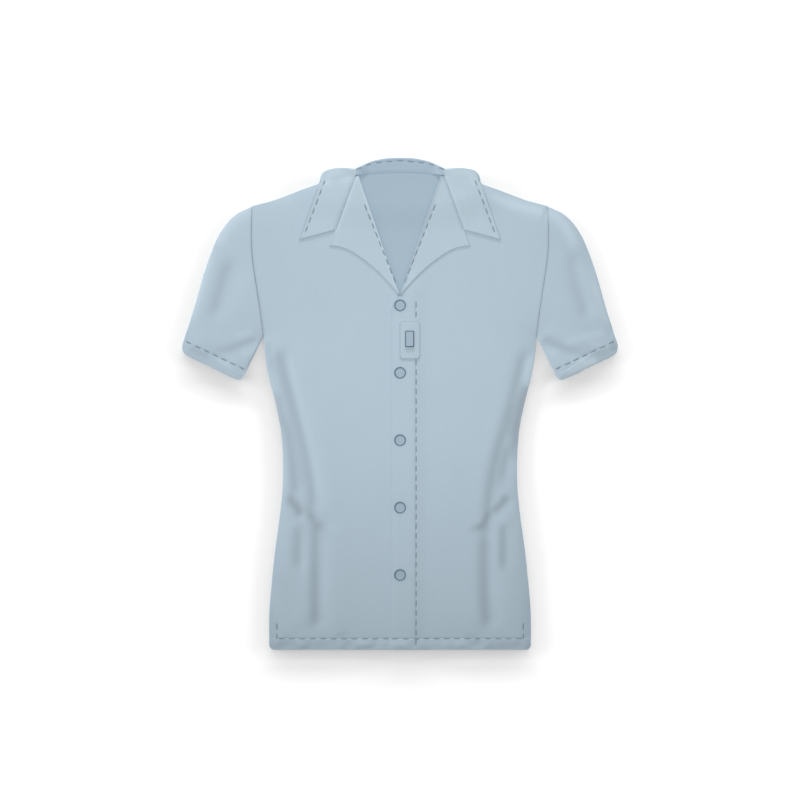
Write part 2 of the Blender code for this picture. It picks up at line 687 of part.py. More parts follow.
HARDWARE_GRID = np.linspace(-0.5, 0.5, 9)  # where the front's level is read under a button or the stud
STUD_PROFILE = [  # inset from the stud's outline, and level above its underside
    (0.0, 0.0),
    (0.0, 0.72 * STUD_THICKNESS),
    (0.0009, STUD_THICKNESS),
]


def highest_front(centre, size):
    """The highest level of the front under a small rectangle."""
    x, height = np.meshgrid(centre[0] + size[0] * HARDWARE_GRID, centre[1] + size[1] * HARDWARE_GRID)
    return float(front_top(1, x, height).max())


def make_stud(finish):
    """The hard rectangular stud on the tab, with softened upper edges."""
    foot = highest_front(STUD_CENTRE, STUD_SIZE) + GAP + TAB_THICKNESS + GAP
    outlines = []
    for inset, level in STUD_PROFILE:
        size = (STUD_SIZE[0] - 2 * inset, STUD_SIZE[1] - 2 * inset)
        rows, half = rounded_rows(size, STUD_CORNER)
        right = np.stack([half, rows], axis=1)
        left = np.stack([-half, rows], axis=1)[::-1]
        loop = np.concatenate([right, left]) + np.array(STUD_CENTRE)
        outlines.append(place(loop[:, 0], loop[:, 1], foot + level))
    return lofted("tab_stud", outlines, finish)


def lofted(name, loops, finish):
    """A closed body through loops of points from the bottom up, each anticlockwise from above."""
    count = len(loops[0])
    faces = [tuple(reversed(range(count)))]
    for i in range(len(loops) - 1):
        for j in range(count):
            k = (j + 1) % count
            faces.append((i * count + j, i * count + k, (i + 1) * count + k, (i + 1) * count + j))
    faces.append(tuple((len(loops) - 1) * count + j for j in range(count)))
    mesh = bpy.data.meshes.new(name)
    mesh.from_pydata([tuple(v) for v in np.concatenate(loops)], [], faces)
    mesh.shade_smooth()
    mesh.set_sharp_from_angle(angle=SHARP_ANGLE)
    mesh.materials.append(finish)
    body = bpy.data.objects.new(name, mesh)
    bpy.context.scene.collection.objects.link(body)
    return body


BUTTON_PROFILE = [  # radius as a share of the button's, and level above its underside
    (0.90, 0.0000),
    (1.00, 0.0008),
    (1.00, 0.0019),
    (0.93, 0.0026),
    (0.80, 0.0026),
    (0.68, 0.0020),
]
BUTTON_SIDES = 20


def make_button(number, finish):
    """A button with a raised rim round a shallow dish."""
    height = BUTTON_TOP_HEIGHT - (number - 1) * BUTTON_PITCH
    across = (2 * BUTTON_RADIUS, 2 * BUTTON_RADIUS)
    foot = highest_front((0.0, height), across) + GAP
    turn = np.linspace(0, 2 * np.pi, BUTTON_SIDES, endpoint=False)
    loops = []
    for share, level in BUTTON_PROFILE:
        reach = share * BUTTON_RADIUS
        loops.append(place(reach * np.cos(turn), height + reach * np.sin(turn), foot + level))
    return lofted(f"button_{number}", loops, finish)


def cloth(name, colour=PALE_BLUE):
    """The finish of one piece of cloth."""
    return material(name, colour, CLOTH_ROUGHNESS, CLOTH_SHEEN)


def plastic(name):
    """The finish of a button or the stud."""
    return material(name, BUTTON_BLUE, PLASTIC_ROUGHNESS)


def build():
    """The whole shirt."""
    for old in list(bpy.data.objects):
        bpy.data.objects.remove(old, do_unlink=True)
    make_back(cloth("back_cloth", SHADED_BLUE))
    make_front("right_front", -1, cloth("right_front_cloth"))
    make_front("left_front", 1, cloth("left_front_cloth"))
    make_sleeve("right_sleeve", -1, cloth("right_sleeve_cloth"))
    make_sleeve("left_sleeve", 1, cloth("left_sleeve_cloth"))
    make_collar(cloth("collar_cloth"))
    make_lapel("right_lapel", -1, cloth("right_lapel_cloth"))
    make_lapel("left_lapel", 1, cloth("left_lapel_cloth"))
    make_tab(cloth("tab_cloth"))
    make_stud(plastic("stud_plastic"))
    for number in range(1, BUTTON_COUNT + 1):
        make_button(number, plastic(f"button_{number}_plastic"))


build()
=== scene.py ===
# %% [markdown]
# # A camp collar shirt, laid flat
#
# The real shirt is a back, two fronts, two sleeves, a collar and two lapels, all of light cotton, sewn
# together and buttoned. It lies on its back, so every panel is a thin sheet with a little air under it.
# Each panel could be draped with Blender's Cloth, but a pressed shirt laid out by hand keeps the shape of
# its pattern, so its panels are grids of points instead, with the creases placed one by one. The packed
# model is loaded first: it is the frame that every piece below has to fit.

from collections import namedtuple

import bpy
import numpy as np
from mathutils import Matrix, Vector
from mathutils.bvhtree import BVHTree
from mathutils.kdtree import KDTree


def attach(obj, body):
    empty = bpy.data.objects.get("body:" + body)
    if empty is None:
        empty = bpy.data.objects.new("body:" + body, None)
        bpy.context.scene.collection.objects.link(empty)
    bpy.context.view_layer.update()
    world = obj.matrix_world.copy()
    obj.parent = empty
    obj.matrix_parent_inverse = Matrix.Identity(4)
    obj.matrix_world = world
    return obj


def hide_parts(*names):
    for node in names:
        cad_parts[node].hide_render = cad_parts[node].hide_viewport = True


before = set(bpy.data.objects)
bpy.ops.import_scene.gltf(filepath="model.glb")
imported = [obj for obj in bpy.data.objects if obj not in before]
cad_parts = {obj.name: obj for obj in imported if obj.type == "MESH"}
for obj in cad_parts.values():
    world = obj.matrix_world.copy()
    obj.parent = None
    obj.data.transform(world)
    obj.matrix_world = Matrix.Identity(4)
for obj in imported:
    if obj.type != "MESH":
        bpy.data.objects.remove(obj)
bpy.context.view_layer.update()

# %% [markdown]
# ## Camera
#
# The photograph looks straight down. One of its pixels is 1.5 mm on the shirt, so its 800 pixels are 1.2 m.
# A long lens from 3.3 m away sees a flat thing almost without perspective, as a copy stand does.

# %% Camera
PIXEL, PICTURE = 0.0015, 800
LENS, SENSOR = 100.0, 36.0
FRAME_MIDDLE = (0.0, 0.0056)

camera_data = bpy.data.cameras.new("copy_stand_camera")
camera_data.lens, camera_data.sensor_width = LENS, SENSOR
camera = bpy.data.objects.new("copy_stand_camera", camera_data)
camera.location = (*FRAME_MIDDLE, PICTURE * PIXEL * LENS / SENSOR)
bpy.context.scene.collection.objects.link(camera)
bpy.context.scene.camera = camera
print("camera height", round(camera.location.z, 3))

# %% [markdown]
# ## Floor
#
# The floor is a plain white sweep that fills the picture. The room glows evenly round it, and the floor has
# a little glow of its own, so that it stays as white as in the photograph where no lamp reaches it.

# %% Floor
WHITE = (1.0, 1.0, 1.0, 1.0)
FLOOR_WHITE = (0.85, 0.85, 0.85, 1.0)
ROOM_GLOW = 0.355
FLOOR_GLOW = 0.14
FLOOR_DROP = 0.0003  # the floor lies this far below the shirt's underside, so that no two faces coincide
FLOOR_HALF = 6.0


def set_inputs(node, values):
    """Set a node's inputs by their names."""
    for name, value in values.items():
        node.inputs[name].default_value = value


def new_finish(name):
    """A new material, its node tree and its shader."""
    finish = bpy.data.materials.new(name)
    finish.use_nodes = True
    return finish, finish.node_tree, finish.node_tree.nodes["Principled BSDF"]


scene = bpy.context.scene
scene.view_settings.view_transform = "Standard"
scene.world = bpy.data.worlds.new("white_room")
scene.world.use_nodes = True
set_inputs(scene.world.node_tree.nodes["Background"], {"Color": WHITE, "Strength": ROOM_GLOW})

floor_sides = ((-1, -1), (1, -1), (1, 1), (-1, 1))
floor_corners = [(x * FLOOR_HALF, y * FLOOR_HALF, -FLOOR_DROP) for x, y in floor_sides]
floor_mesh = bpy.data.meshes.new("floor")
floor_mesh.from_pydata(floor_corners, [], [(0, 1, 2, 3)])
floor = bpy.data.objects.new("floor", floor_mesh)
scene.collection.objects.link(floor)

floor_finish, floor_tree, floor_shader = new_finish("white_sweep")
set_inputs(
    floor_shader,
    {"Base Color": FLOOR_WHITE, "Roughness": 1.0, "Specular IOR Level": 0.0, "Emission Color": WHITE},
)
floor_mesh.materials.append(floor_finish)
print("floor half width:", FLOOR_HALF)

# %% [markdown]
# ## Floor patches
#
# In the photograph the floor is brighter between the sleeves and the sides, and darker under the cuffs and
# the hem, than the lamps alone make it. More lamps could mend that, but each would throw shadows of its
# own. So a few soft oval patches of the floor's own glow, a little above or below the rest, paint that
# light and that shadow onto it.

# %% Floor patches
# the reach is that of its two axes, and the turn is in degrees
PaintedPatch = namedtuple("PaintedPatch", "middle reach turn glow")
PAINTED_FLOOR_PATCHES = [
    # painted light between the sleeves and the sides, where cloth throws light back on the floor
    PaintedPatch((-0.2145, 0.0690), (0.0240, 0.0460), 0, 0.135),
    PaintedPatch((0.2100, 0.0710), (0.0240, 0.0460), 0, 0.135),
    # painted shadow under the cuffs and under the hem, where the shadow of the photograph is deeper
    PaintedPatch((-0.2790, 0.0185), (0.0915, 0.0270), -16.7, -0.090),
    PaintedPatch((0.2790, 0.0215), (0.0915, 0.0270), 16.7, -0.090),
    PaintedPatch((-0.1500, -0.4039), (0.1000, 0.0220), 0, -0.035),
    PaintedPatch((0.1500, -0.4039), (0.1000, 0.0220), 0, -0.035),
]
PATCH_CORE = 0.35  # the share of its reach over which a patch keeps its full glow
floor_spot = floor_tree.nodes.new("ShaderNodeTexCoord").outputs["Object"]
floor_glow = None
for oval in PAINTED_FLOOR_PATCHES:
    centred = floor_tree.nodes.new("ShaderNodeMapping")
    centred.vector_type = "TEXTURE"
    turned = (0, 0, np.radians(oval.turn))
    set_inputs(centred, {"Location": (*oval.middle, 0), "Rotation": turned, "Scale": (*oval.reach, 1)})
    floor_tree.links.new(floor_spot, centred.inputs["Vector"])
    away = floor_tree.nodes.new("ShaderNodeVectorMath")
    away.operation = "LENGTH"
    floor_tree.links.new(centred.outputs["Vector"], away.inputs[0])
    fade = floor_tree.nodes.new("ShaderNodeMapRange")
    fade.interpolation_type = "SMOOTHSTEP"
    set_inputs(fade, {"From Min": PATCH_CORE, "From Max": 1.0, "To Min": oval.glow, "To Max": 0.0})
    floor_tree.links.new(away.outputs["Value"], fade.inputs["Value"])
    total = floor_tree.nodes.new("ShaderNodeMath")
    total.operation = "ADD"
    total.inputs[1].default_value = FLOOR_GLOW
    floor_tree.links.new(fade.outputs["Result"], total.inputs[0])
    if floor_glow is not None:
        floor_tree.links.new(floor_glow, total.inputs[1])
    floor_glow = total.outputs["Value"]
floor_tree.links.new(floor_glow, floor_shader.inputs["Emission Strength"])
print("patches on the floor:", len(PAINTED_FLOOR_PATCHES))

# %% [markdown]
# ## Lamps
#
# The photograph's shadow is soft and falls towards the hem. Long low strips round the floor draw it, the
# strongest ones beyond the collar, and they light the floor alone. The cloth is modelled by two soft suns,
# from beyond the collar and from the left, and by one lamp above the chest that lets the hem fall away.
# Light linking gives each lamp its own receivers, as a photographer's flags do, so the white of the floor
# and the tone of the cloth can be set apart. Nothing on the shirt is shaded from the left sun, whose cast
# shadows would be too hard, and the buttons throw no shade on the cloth, because they show none in the
# photograph.

# %% Lamps
floor_only = bpy.data.collections.new("lit_floor")
floor_only.objects.link(floor)
shirt_only = bpy.data.collections.new("lit_shirt")
shade_makers = bpy.data.collections.new("throws_shade")


def hang(name, kind, spot, aim, power, receivers, blockers=None):
    """A lamp that lights only the receivers. Everything throws a shadow in it, or only the blockers do."""
    data = bpy.data.lights.new(name, kind)
    data.energy = power
    made = bpy.data.objects.new(name, data)
    made.location = spot
    made.rotation_mode = "QUATERNION"
    made.rotation_quaternion = (Vector(aim) - Vector(spot)).to_track_quat("-Z", "Y")
    made.light_linking.receiver_collection = receivers
    made.light_linking.blocker_collection = blockers
    scene.collection.objects.link(made)
    return data


# name, place, width and height, and power of each strip: all of them are aimed at the middle of the floor
STRIPS = [
    ("strip_low", (0.0, 6.0, 0.55), (12.0, 0.42), 1500.0),
    ("strip_mid", (0.0, 6.0, 1.25), (12.0, 0.90), 260.0),
    ("strip_front", (0.0, -6.0, 0.55), (12.0, 0.42), 450.0),
    ("strip_left", (-6.0, 1.2, 0.55), (6.0, 0.60), 850.0),
    ("strip_right", (6.0, 1.2, 0.55), (6.0, 0.60), 850.0),
]
for name, spot, size, power in STRIPS:
    strip = hang(name, "AREA", spot, (0, 0, 0), power, floor_only)
    strip.shape = "RECTANGLE"
    strip.size, strip.size_y = size

# the suns shine from these places to the middle of the floor, and the lamp hangs straight above the chest
TOP_SUN, TOP_SUN_POWER, TOP_SUN_SPREAD = (0.0, 2.0, 0.75), 1.56, 18
LEFT_SUN, LEFT_SUN_POWER, LEFT_SUN_SPREAD = (-2.0, 0.3, 0.95), 1.58, 28
CHEST, CHEST_LAMP_RISE, CHEST_LAMP_POWER = (-0.03, 0.17), 1.6, 33.0
CHEST_LAMP_SPREAD, CHEST_LAMP_BLEND, CHEST_LAMP_SIZE = 42, 0.8, 0.25
top_sun = hang("top_sun", "SUN", TOP_SUN, (0, 0, 0), TOP_SUN_POWER, shirt_only, shade_makers)
top_sun.angle = np.radians(TOP_SUN_SPREAD)
left_sun = hang("left_sun", "SUN", LEFT_SUN, (0, 0, 0), LEFT_SUN_POWER, shirt_only, floor_only)
left_sun.angle = np.radians(LEFT_SUN_SPREAD)
over_chest = (*CHEST, CHEST_LAMP_RISE)
chest_lamp = hang("chest_lamp", "SPOT", over_chest, (*CHEST, 0), CHEST_LAMP_POWER, shirt_only, shade_makers)
chest_lamp.spot_size, chest_lamp.spot_blend = np.radians(CHEST_LAMP_SPREAD), CHEST_LAMP_BLEND
chest_lamp.shadow_soft_size = CHEST_LAMP_SIZE

# %% [markdown]
# ## Curves
#
# A pattern cutter draws with a few smooth curves. These helpers do the same: a soft step and a soft bell, a
# smooth curve through points, places along a line, and the distance from any place on the cloth to a line.

# %% Curves


def smooth(value):
    """0 to 1 with level ends."""
    value = np.clip(value, 0.0, 1.0)
    return value * value * (3.0 - 2.0 * value)


def bell(away, reach):
    """1 where away is 0, with a soft fall to 0 on both sides."""
    return np.exp(-((away / reach) ** 2))


def between(pair, share):
    """An even change from the first value to the second."""
    return pair[0] + (pair[1] - pair[0]) * share


def faded(fade, share):
    """1 along a line, with a soft start and end. The fades are shares of its length."""
    return smooth(share / fade[0]) * smooth((1 - share) / fade[1])


def hermite(knots, values, at):
    """A smooth curve through values at knots, read at other places."""
    slope = np.gradient(values, knots, axis=0)
    k = np.clip(np.searchsorted(knots, at, side="right") - 1, 0, len(knots) - 2)
    span = knots[k + 1] - knots[k]
    s = (at - knots[k]) / span
    if values.ndim == 2:
        s, span = s[:, None], span[:, None]
    start, end = values[k], values[k + 1]
    ease = s * s * (3.0 - 2.0 * s)
    lean_out = s * (1.0 - s) ** 2
    lean_in = s * s * (s - 1.0)
    return start + (end - start) * ease + span * (slope[k] * lean_out + slope[k + 1] * lean_in)


def along(path, fractions):
    """Points of a polyline at fractions of its length."""
    steps = np.linalg.norm(np.diff(path, axis=0), axis=1)
    run = np.concatenate([[0.0], np.cumsum(steps)])
    at = np.asarray(fractions) * run[-1]
    return np.stack([np.interp(at, run, path[:, k]) for k in range(path.shape[1])], axis=1)


def curve(points, fractions):
    """Points of a smooth curve through the given ones, at fractions of its length."""
    p = np.array(points, dtype=float)
    knots = np.concatenate([[0.0], np.cumsum(np.linalg.norm(np.diff(p, axis=0), axis=1) ** 0.5)])
    fine = hermite(knots, p, np.linspace(0.0, knots[-1], 60 * len(p)))
    return along(fine, fractions)


def distance_to(path, x, height):
    """Distance from each place to a polyline, how far along it the nearest point is, and the side."""
    start, step = path[:-1], np.diff(path, axis=0)
    here = np.stack([np.ravel(x), np.ravel(height)], axis=1)
    away = here[:, None, :] - start[None]
    t = np.clip((away * step).sum(2) / (step * step).sum(1), 0.0, 1.0)
    gap = np.linalg.norm(away - t[..., None] * step[None], axis=2)
    k = gap.argmin(axis=1)
    each = np.arange(len(k))
    lengths = np.linalg.norm(step, axis=1)
    run = np.concatenate([[0.0], np.cumsum(lengths)])
    reached = (run[k] + t[each, k] * lengths[k]) / run[-1]
    left = np.sign(step[k, 0] * away[each, k, 1] - step[k, 1] * away[each, k, 0])
    shape = np.shape(x)
    return gap[each, k].reshape(shape), reached.reshape(shape), left.reshape(shape)


def near_line(line, reach, x, height):
    """Which places lie in the box round a line, a reach wider on each side."""
    low, high = line.min(0) - reach, line.max(0) + reach
    return (x > low[0]) & (x < high[0]) & (height > low[1]) & (height < high[1])


EDGE_STEPS = np.array([0.0, 0.00008, 0.00025, 0.0005, 0.0009, 0.0016])  # places near a rounded edge
GRADED_EDGE_SHARE = 0.2  # they take up at most this share of a row


def graded(length, step):
    """Places from 0 to length, even in the middle and crowded at both ends, where an edge is rounded."""
    near = EDGE_STEPS * min(1.0, GRADED_EDGE_SHARE * length / EDGE_STEPS[-1])
    middle = np.linspace(near[-1], length - near[-1], max(2, round((length - 2 * near[-1]) / step) + 1))
    return np.concatenate([near[:-1], middle, length - near[:-1][::-1]])


print("places across a 20 mm strip:", len(graded(0.020, 0.0025)))

# %% [markdown]
# ## The pattern
#
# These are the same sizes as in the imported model, in metres. "height" is the distance up from the hem, and
# "out" the distance from the middle line. The shirt is 737.6 mm long, so y 0 is 368.8 mm above the hem.

# %% Pattern sizes
LENGTH = 0.7376
CLOTH = 0.0012
LAPEL = 0.0015
COLLAR = 0.0020
GAP = 0.0003

ARMPIT_HEIGHT = 0.470
SHOULDER_TIP_HEIGHT = 0.665
NECK_HEIGHT = 0.7109
NECK_HALF_WIDTH = 0.0675
NECK_SEAM_RISE = 0.0042
FRONT_TOP_HEIGHT = 0.708
PUFF, PUFF_REACH = 0.0034, 0.022
BREAK_HEIGHT = 0.5325
ROLL_TOP = (0.0613, 0.7102)
OVERLAP = 0.0135
EDGE_CORNER = (0.508, 0.5295)
ROLL_INSET = 0.0028
LAP_FADE = (0.014, 0.045)
LAP_FADE_ABOVE = 0.042
FALL_MARGIN, FALL_FADE = 0.012, 0.045
HEM_CORNER = 0.008

Width = namedtuple("Width", "height half_width")
SIDE = [
    Width(0.000, 0.1962),
    Width(0.060, 0.1956),
    Width(0.104, 0.1920),
    Width(0.149, 0.1872),
    Width(0.194, 0.1810),
    Width(0.239, 0.1762),
    Width(0.285, 0.1754),
    Width(0.329, 0.1786),
    Width(0.374, 0.1876),
    Width(0.410, 0.1966),
    Width(0.446, 0.2026),
    Width(ARMPIT_HEIGHT, 0.2046),
    Width(0.509, 0.2094),
    Width(0.549, 0.2154),
    Width(0.593, 0.2214),
    Width(0.629, 0.2225),
    Width(SHOULDER_TIP_HEIGHT, 0.2214),
]

Point = namedtuple("Point", "out height")
SHOULDER = [
    Point(0.2214, SHOULDER_TIP_HEIGHT),
    Point(0.1893, 0.6734),
    Point(0.1500, 0.6884),
    Point(0.1200, 0.6988),
    Point(NECK_HALF_WIDTH, NECK_HEIGHT),
]
SLEEVE_TOP = [
    Point(0.2217, 0.6646),
    Point(0.2475, 0.6513),
    Point(0.2696, 0.6250),
    Point(0.2897, 0.5769),
    Point(0.3098, 0.5087),
    Point(0.3268, 0.4563),
]
SLEEVE_CUFF = [
    Point(0.3268, 0.4563),
    Point(0.3249, 0.4464),
    Point(0.3190, 0.4409),
    Point(0.2860, 0.4248),
    Point(0.2516, 0.4082),
    Point(0.2394, 0.4052),
    Point(0.2325, 0.4142),
]
SLEEVE_UNDERARM = [Point(0.2050, 0.4700), Point(0.2180, 0.4432), Point(0.2325, 0.4142)]

GORGE_BOTTOM = Point(0.0960, 0.6292)
GORGE_TOP = Point(0.0672, 0.7083)
LEAF_TIP = Point(0.1515, 0.6144)
LEAF_CROSSING = Point(0.1210, 0.7018)
LEAF_BUMP = [
    LEAF_CROSSING,
    Point(0.1176, 0.7132),
    Point(0.1118, 0.7182),
    Point(0.0930, 0.7224),
    Point(0.0675, 0.7209),
]
ROLL_ARC = [
    Point(0.0675, 0.7209),
    Point(0.0423, 0.7323),
    Point(0.0195, 0.7368),
    Point(0.0000, LENGTH),
]
FALL_EDGE = [
    Point(0.1160, 0.6990),
    Point(0.0930, 0.6894),
    Point(0.0675, 0.6834),
    Point(0.0000, 0.6789),
]
LAPEL_LOWER_EDGE = [
    Point(0.0014, 0.5313),
    Point(0.0147, 0.5474),
    Point(0.0308, 0.5646),
    Point(0.0537, 0.5841),
    Point(0.0767, 0.5991),
    Point(0.0900, 0.6039),
    Point(0.1054, 0.6060),
]
LAPEL_NOTCH = [Point(0.1054, 0.6060), Point(0.0966, 0.6286)]
print("body width under the arms:", round(2 * SIDE[11].half_width, 4))

# %% [markdown]
# ## Rows of stitching
#
# The photograph shows broken lines of topstitching: round the hem with a short leg up each side vent, down
# the placket, beside the outer edges of the collar's points, along the lapels' rolls, over the collar's
# roll and above each cuff. They are only lines here. The cloth dips along them and along the sewn seams,
# and the thread follows later.

# %% Stitch lines
STITCH_PITCH = 0.0143
BAR_END = 0.0046  # from the middle of the last bar of a row to where its groove ends
HEM_LINE = 0.0170
VENT_BARS = (0.0200, 0.0353)
HEM_OUT = 0.1779
VENT_OUT = 0.1846
PLACKET_LINE = 0.0240

# the middles of the first and last bars of each row, as (x, height)
FRONT_BARS = {
    -1: [
        [(-VENT_OUT, VENT_BARS[1]), (-VENT_OUT, VENT_BARS[0])],
        [(-HEM_OUT, HEM_LINE), (-0.0214, HEM_LINE)],
    ],
    1: [
        [(-0.0071, HEM_LINE), (HEM_OUT, HEM_LINE)],
        [(VENT_OUT, VENT_BARS[0]), (VENT_OUT, VENT_BARS[1])],
        [(PLACKET_LINE, 0.0129), (PLACKET_LINE, 0.4305)],
        [(PLACKET_LINE, 0.5030), (PLACKET_LINE, 0.5172)],
    ],
}
CUFF_BARS = [(0.3161, 0.4601), (0.2379, 0.4227)]
LEAF_BARS = [(0.1140, 0.6985), (0.1398, 0.6302)]
LAPEL_BARS = [(0.0512, 0.6624), (0.0084, 0.5544)]
ARC_BARS = [(-0.0622, 0.7212), (-0.0423, 0.7293), (0.0, 0.7331), (0.0423, 0.7293), (0.0622, 0.7212)]
BACK_BARS = [[(-HEM_OUT, HEM_LINE), (HEM_OUT, HEM_LINE)]]


def mirrored(line, side):
    """The line as it lies on one side of the shirt: -1 for the left of the picture."""
    return [(side * out, height) for out, height in line]


SEAM_DIP, SEAM_REACH = 0.0007, 0.0030  # cloth sinks towards a sewn seam by this much, over this reach
# reach and strength of the painted shade in the groove of the armhole seam
ARMHOLE_REACH, ARMHOLE_TONE = 0.0016, 0.62
STITCH_DIP, STITCH_DIP_REACH = 0.00030, 0.0013  # and towards a row of stitching by this much
# painted shade in the groove along a row of stitching, and its reach
STITCH_TONE, STITCH_TONE_REACH = 0.25, 0.0016


def seam_sink(seam, x, height, reach=SEAM_REACH):
    """How far the cloth has sunk near a seam line, from 1 on it to 0 away from it."""
    away, _, _ = distance_to(np.array(seam), x, height)
    return bell(away, reach)


def dip(rows, x, height, depth=STITCH_DIP, width=STITCH_DIP_REACH):
    """How far cloth is pulled down along rows of stitching."""
    total = np.zeros(np.shape(x))
    for row in rows:
        line = np.array(row, dtype=float)
        heading = (line[-1] - line[0]) / np.linalg.norm(line[-1] - line[0])
        line[0] -= BAR_END * heading
        line[-1] += BAR_END * heading
        away, _, _ = distance_to(line, x, height)
        total = np.maximum(total, bell(away, width))
    return depth * total


def stitch_tone(rows, x, height):
    """How much painted shade darkens the cloth along rows of stitching, in the groove that they pull."""
    return dip(rows, x, height, STITCH_TONE, STITCH_TONE_REACH)


print("rows of stitching on the fronts:", sum(len(rows) for rows in FRONT_BARS.values()))

# %% [markdown]
# ## Creases
#
# Light cloth creases where it was squeezed: from the armpits down to the waist, across the waist, and
# straight down to the hem, and on each sleeve from the cap to the cuff. Each row of the table is one
# crease: points along the dark wall of a soft trough, its half width at both ends, its depth, how softly it
# starts and ends, and how much painted shade it lays on the cloth at both ends. The wall that faces away
# from the lamp is the steeper one.

# %% Creases
Crease = namedtuple("Crease", "points width depth fade tone")
CREASES = [
    # from the left armpit to the waist, the shorter one beside it, and the hollow between the two
    Crease(
        [(-0.1852, 0.4569), (-0.1792, 0.4314), (-0.1725, 0.4044), (-0.1643, 0.3759),
         (-0.1477, 0.3144), (-0.1358, 0.2574), (-0.1313, 0.2049)],
        (0.0092, 0.0085), 0.0021, (0.09, 0.08), (0.53, 0.23),
    ),
    Crease(
        [(-0.1800, 0.3564), (-0.1710, 0.3324), (-0.1658, 0.3069), (-0.1620, 0.2814),
         (-0.1598, 0.2574), (-0.1583, 0.2304)],
        (0.0085, 0.0080), 0.0012, (0.25, 0.12), (0.41, 0.45),
    ),
    Crease(
        [(-0.1800, 0.3864), (-0.1680, 0.3444), (-0.1575, 0.3144), (-0.1500, 0.2694),
         (-0.1455, 0.2244)],
        (0.0130, 0.0150), 0.0006, (0.25, 0.2), (0.00, 0.08),
    ),
    # across the left of the waist
    Crease(
        [(-0.1710, 0.2349), (-0.1635, 0.2244), (-0.1545, 0.2124), (-0.1455, 0.1959)],
        (0.0070, 0.0070), 0.0017, (0.3, 0.3), (0.95, 0.92),
    ),
    Crease(
        [(-0.1470, 0.2154), (-0.1365, 0.2049), (-0.1283, 0.1929), (-0.1155, 0.1824),
         (-0.0960, 0.1734)],
        (0.0072, 0.0066), 0.0019, (0.3, 0.5), (0.95, 0.34),
    ),
    # down to the hem on the left
    Crease(
        [(-0.1537, 0.1944), (-0.1545, 0.1644), (-0.1552, 0.1404), (-0.1545, 0.1104)],
        (0.0095, 0.0090), 0.0014, (0.2, 0.35), (0.34, 0.46),
    ),
    Crease(
        [(-0.1290, 0.1944), (-0.1281, 0.1569), (-0.1284, 0.1119), (-0.1284, 0.0744),
         (-0.1281, 0.0294)],
        (0.0092, 0.0092), 0.0021, (0.10, 0.10), (0.34, 0.50),
    ),
    # from the right armpit to the waist, and the shorter ones beside it
    Crease(
        [(0.1852, 0.4569), (0.1804, 0.4314), (0.1740, 0.4044), (0.1658, 0.3729), (0.1575, 0.3429),
         (0.1485, 0.3129), (0.1375, 0.2679), (0.1313, 0.2244), (0.1283, 0.1989)],
        (0.0098, 0.0092), 0.0020, (0.09, 0.08), (0.18, 0.38),
    ),
    Crease(
        [(0.1920, 0.3924), (0.1815, 0.3744), (0.1725, 0.3534), (0.1665, 0.3294), (0.1643, 0.3054)],
        (0.0075, 0.0075), 0.0012, (0.2, 0.3), (0.00, 0.39),
    ),
    Crease(
        [(0.1650, 0.3144), (0.1590, 0.2904), (0.1530, 0.2634), (0.1530, 0.2424)],
        (0.0068, 0.0068), 0.0008, (0.3, 0.3), (0.28, 0.33),
    ),
    Crease(
        [(0.1800, 0.3924), (0.1695, 0.3564), (0.1605, 0.3264), (0.1545, 0.2919), (0.1500, 0.2514)],
        (0.0110, 0.0140), 0.0006, (0.25, 0.25), (0.00, 0.00),
    ),
    # across the right of the waist
    Crease(
        [(0.1620, 0.2364), (0.1560, 0.2244), (0.1455, 0.2124), (0.1335, 0.2034)],
        (0.0066, 0.0066), 0.0014, (0.25, 0.35), (0.68, 0.66),
    ),
    Crease(
        [(0.1380, 0.2154), (0.1305, 0.2019), (0.1260, 0.1899), (0.1125, 0.1824), (0.0945, 0.1779)],
        (0.0074, 0.0066), 0.0019, (0.3, 0.5), (0.95, 0.20),
    ),
    # down to the hem on the right
    Crease(
        [(0.1537, 0.1944), (0.1533, 0.1569), (0.1533, 0.1104)],
        (0.0072, 0.0070), 0.0014, (0.2, 0.35), (0.30, 0.60),
    ),
    Crease(
        [(0.1260, 0.1914), (0.1245, 0.1494), (0.1245, 0.1044), (0.1257, 0.0714), (0.1298, 0.0279)],
        (0.0100, 0.0100), 0.0021, (0.10, 0.12), (0.36, 0.55),
    ),
    # left sleeve
    Crease(
        [(-0.2535, 0.5994), (-0.2602, 0.5769), (-0.2655, 0.5604), (-0.2707, 0.5424),
         (-0.2760, 0.5244), (-0.2797, 0.5079), (-0.2805, 0.4899)],
        (0.0125, 0.0105), 0.0018, (0.28, 0.2), (0.31, 0.23),
    ),
    Crease(
        [(-0.2110, 0.4700), (-0.2340, 0.4599), (-0.2535, 0.4524), (-0.2745, 0.4479),
         (-0.2955, 0.4449)],
        (0.0070, 0.0085), 0.0014, (0.15, 0.45), (0.12, 0.20),
    ),
    # right sleeve
    Crease(
        [(0.2505, 0.6024), (0.2565, 0.5769), (0.2625, 0.5544), (0.2681, 0.5349), (0.2745, 0.5169),
         (0.2797, 0.4929)],
        (0.0120, 0.0105), 0.0017, (0.25, 0.2), (0.23, 0.42),
    ),
    Crease(
        [(0.2111, 0.4694), (0.2295, 0.4599), (0.2445, 0.4539), (0.2625, 0.4494), (0.2880, 0.4449)],
        (0.0080, 0.0090), 0.0015, (0.15, 0.45), (0.47, 0.09),
    ),
]
print("creases:", len(CREASES))

# %% [markdown]
# ## The form of a crease
#
# Seen across, a pressed crease is a trough with one steep and one gentle wall, and a low swell where the
# cloth beside it stands up. Displacement from a painted map could give that, but a sum of soft bells keeps
# every crease exact where it meets an edge or a seam. Distances across it are counted in its half width.

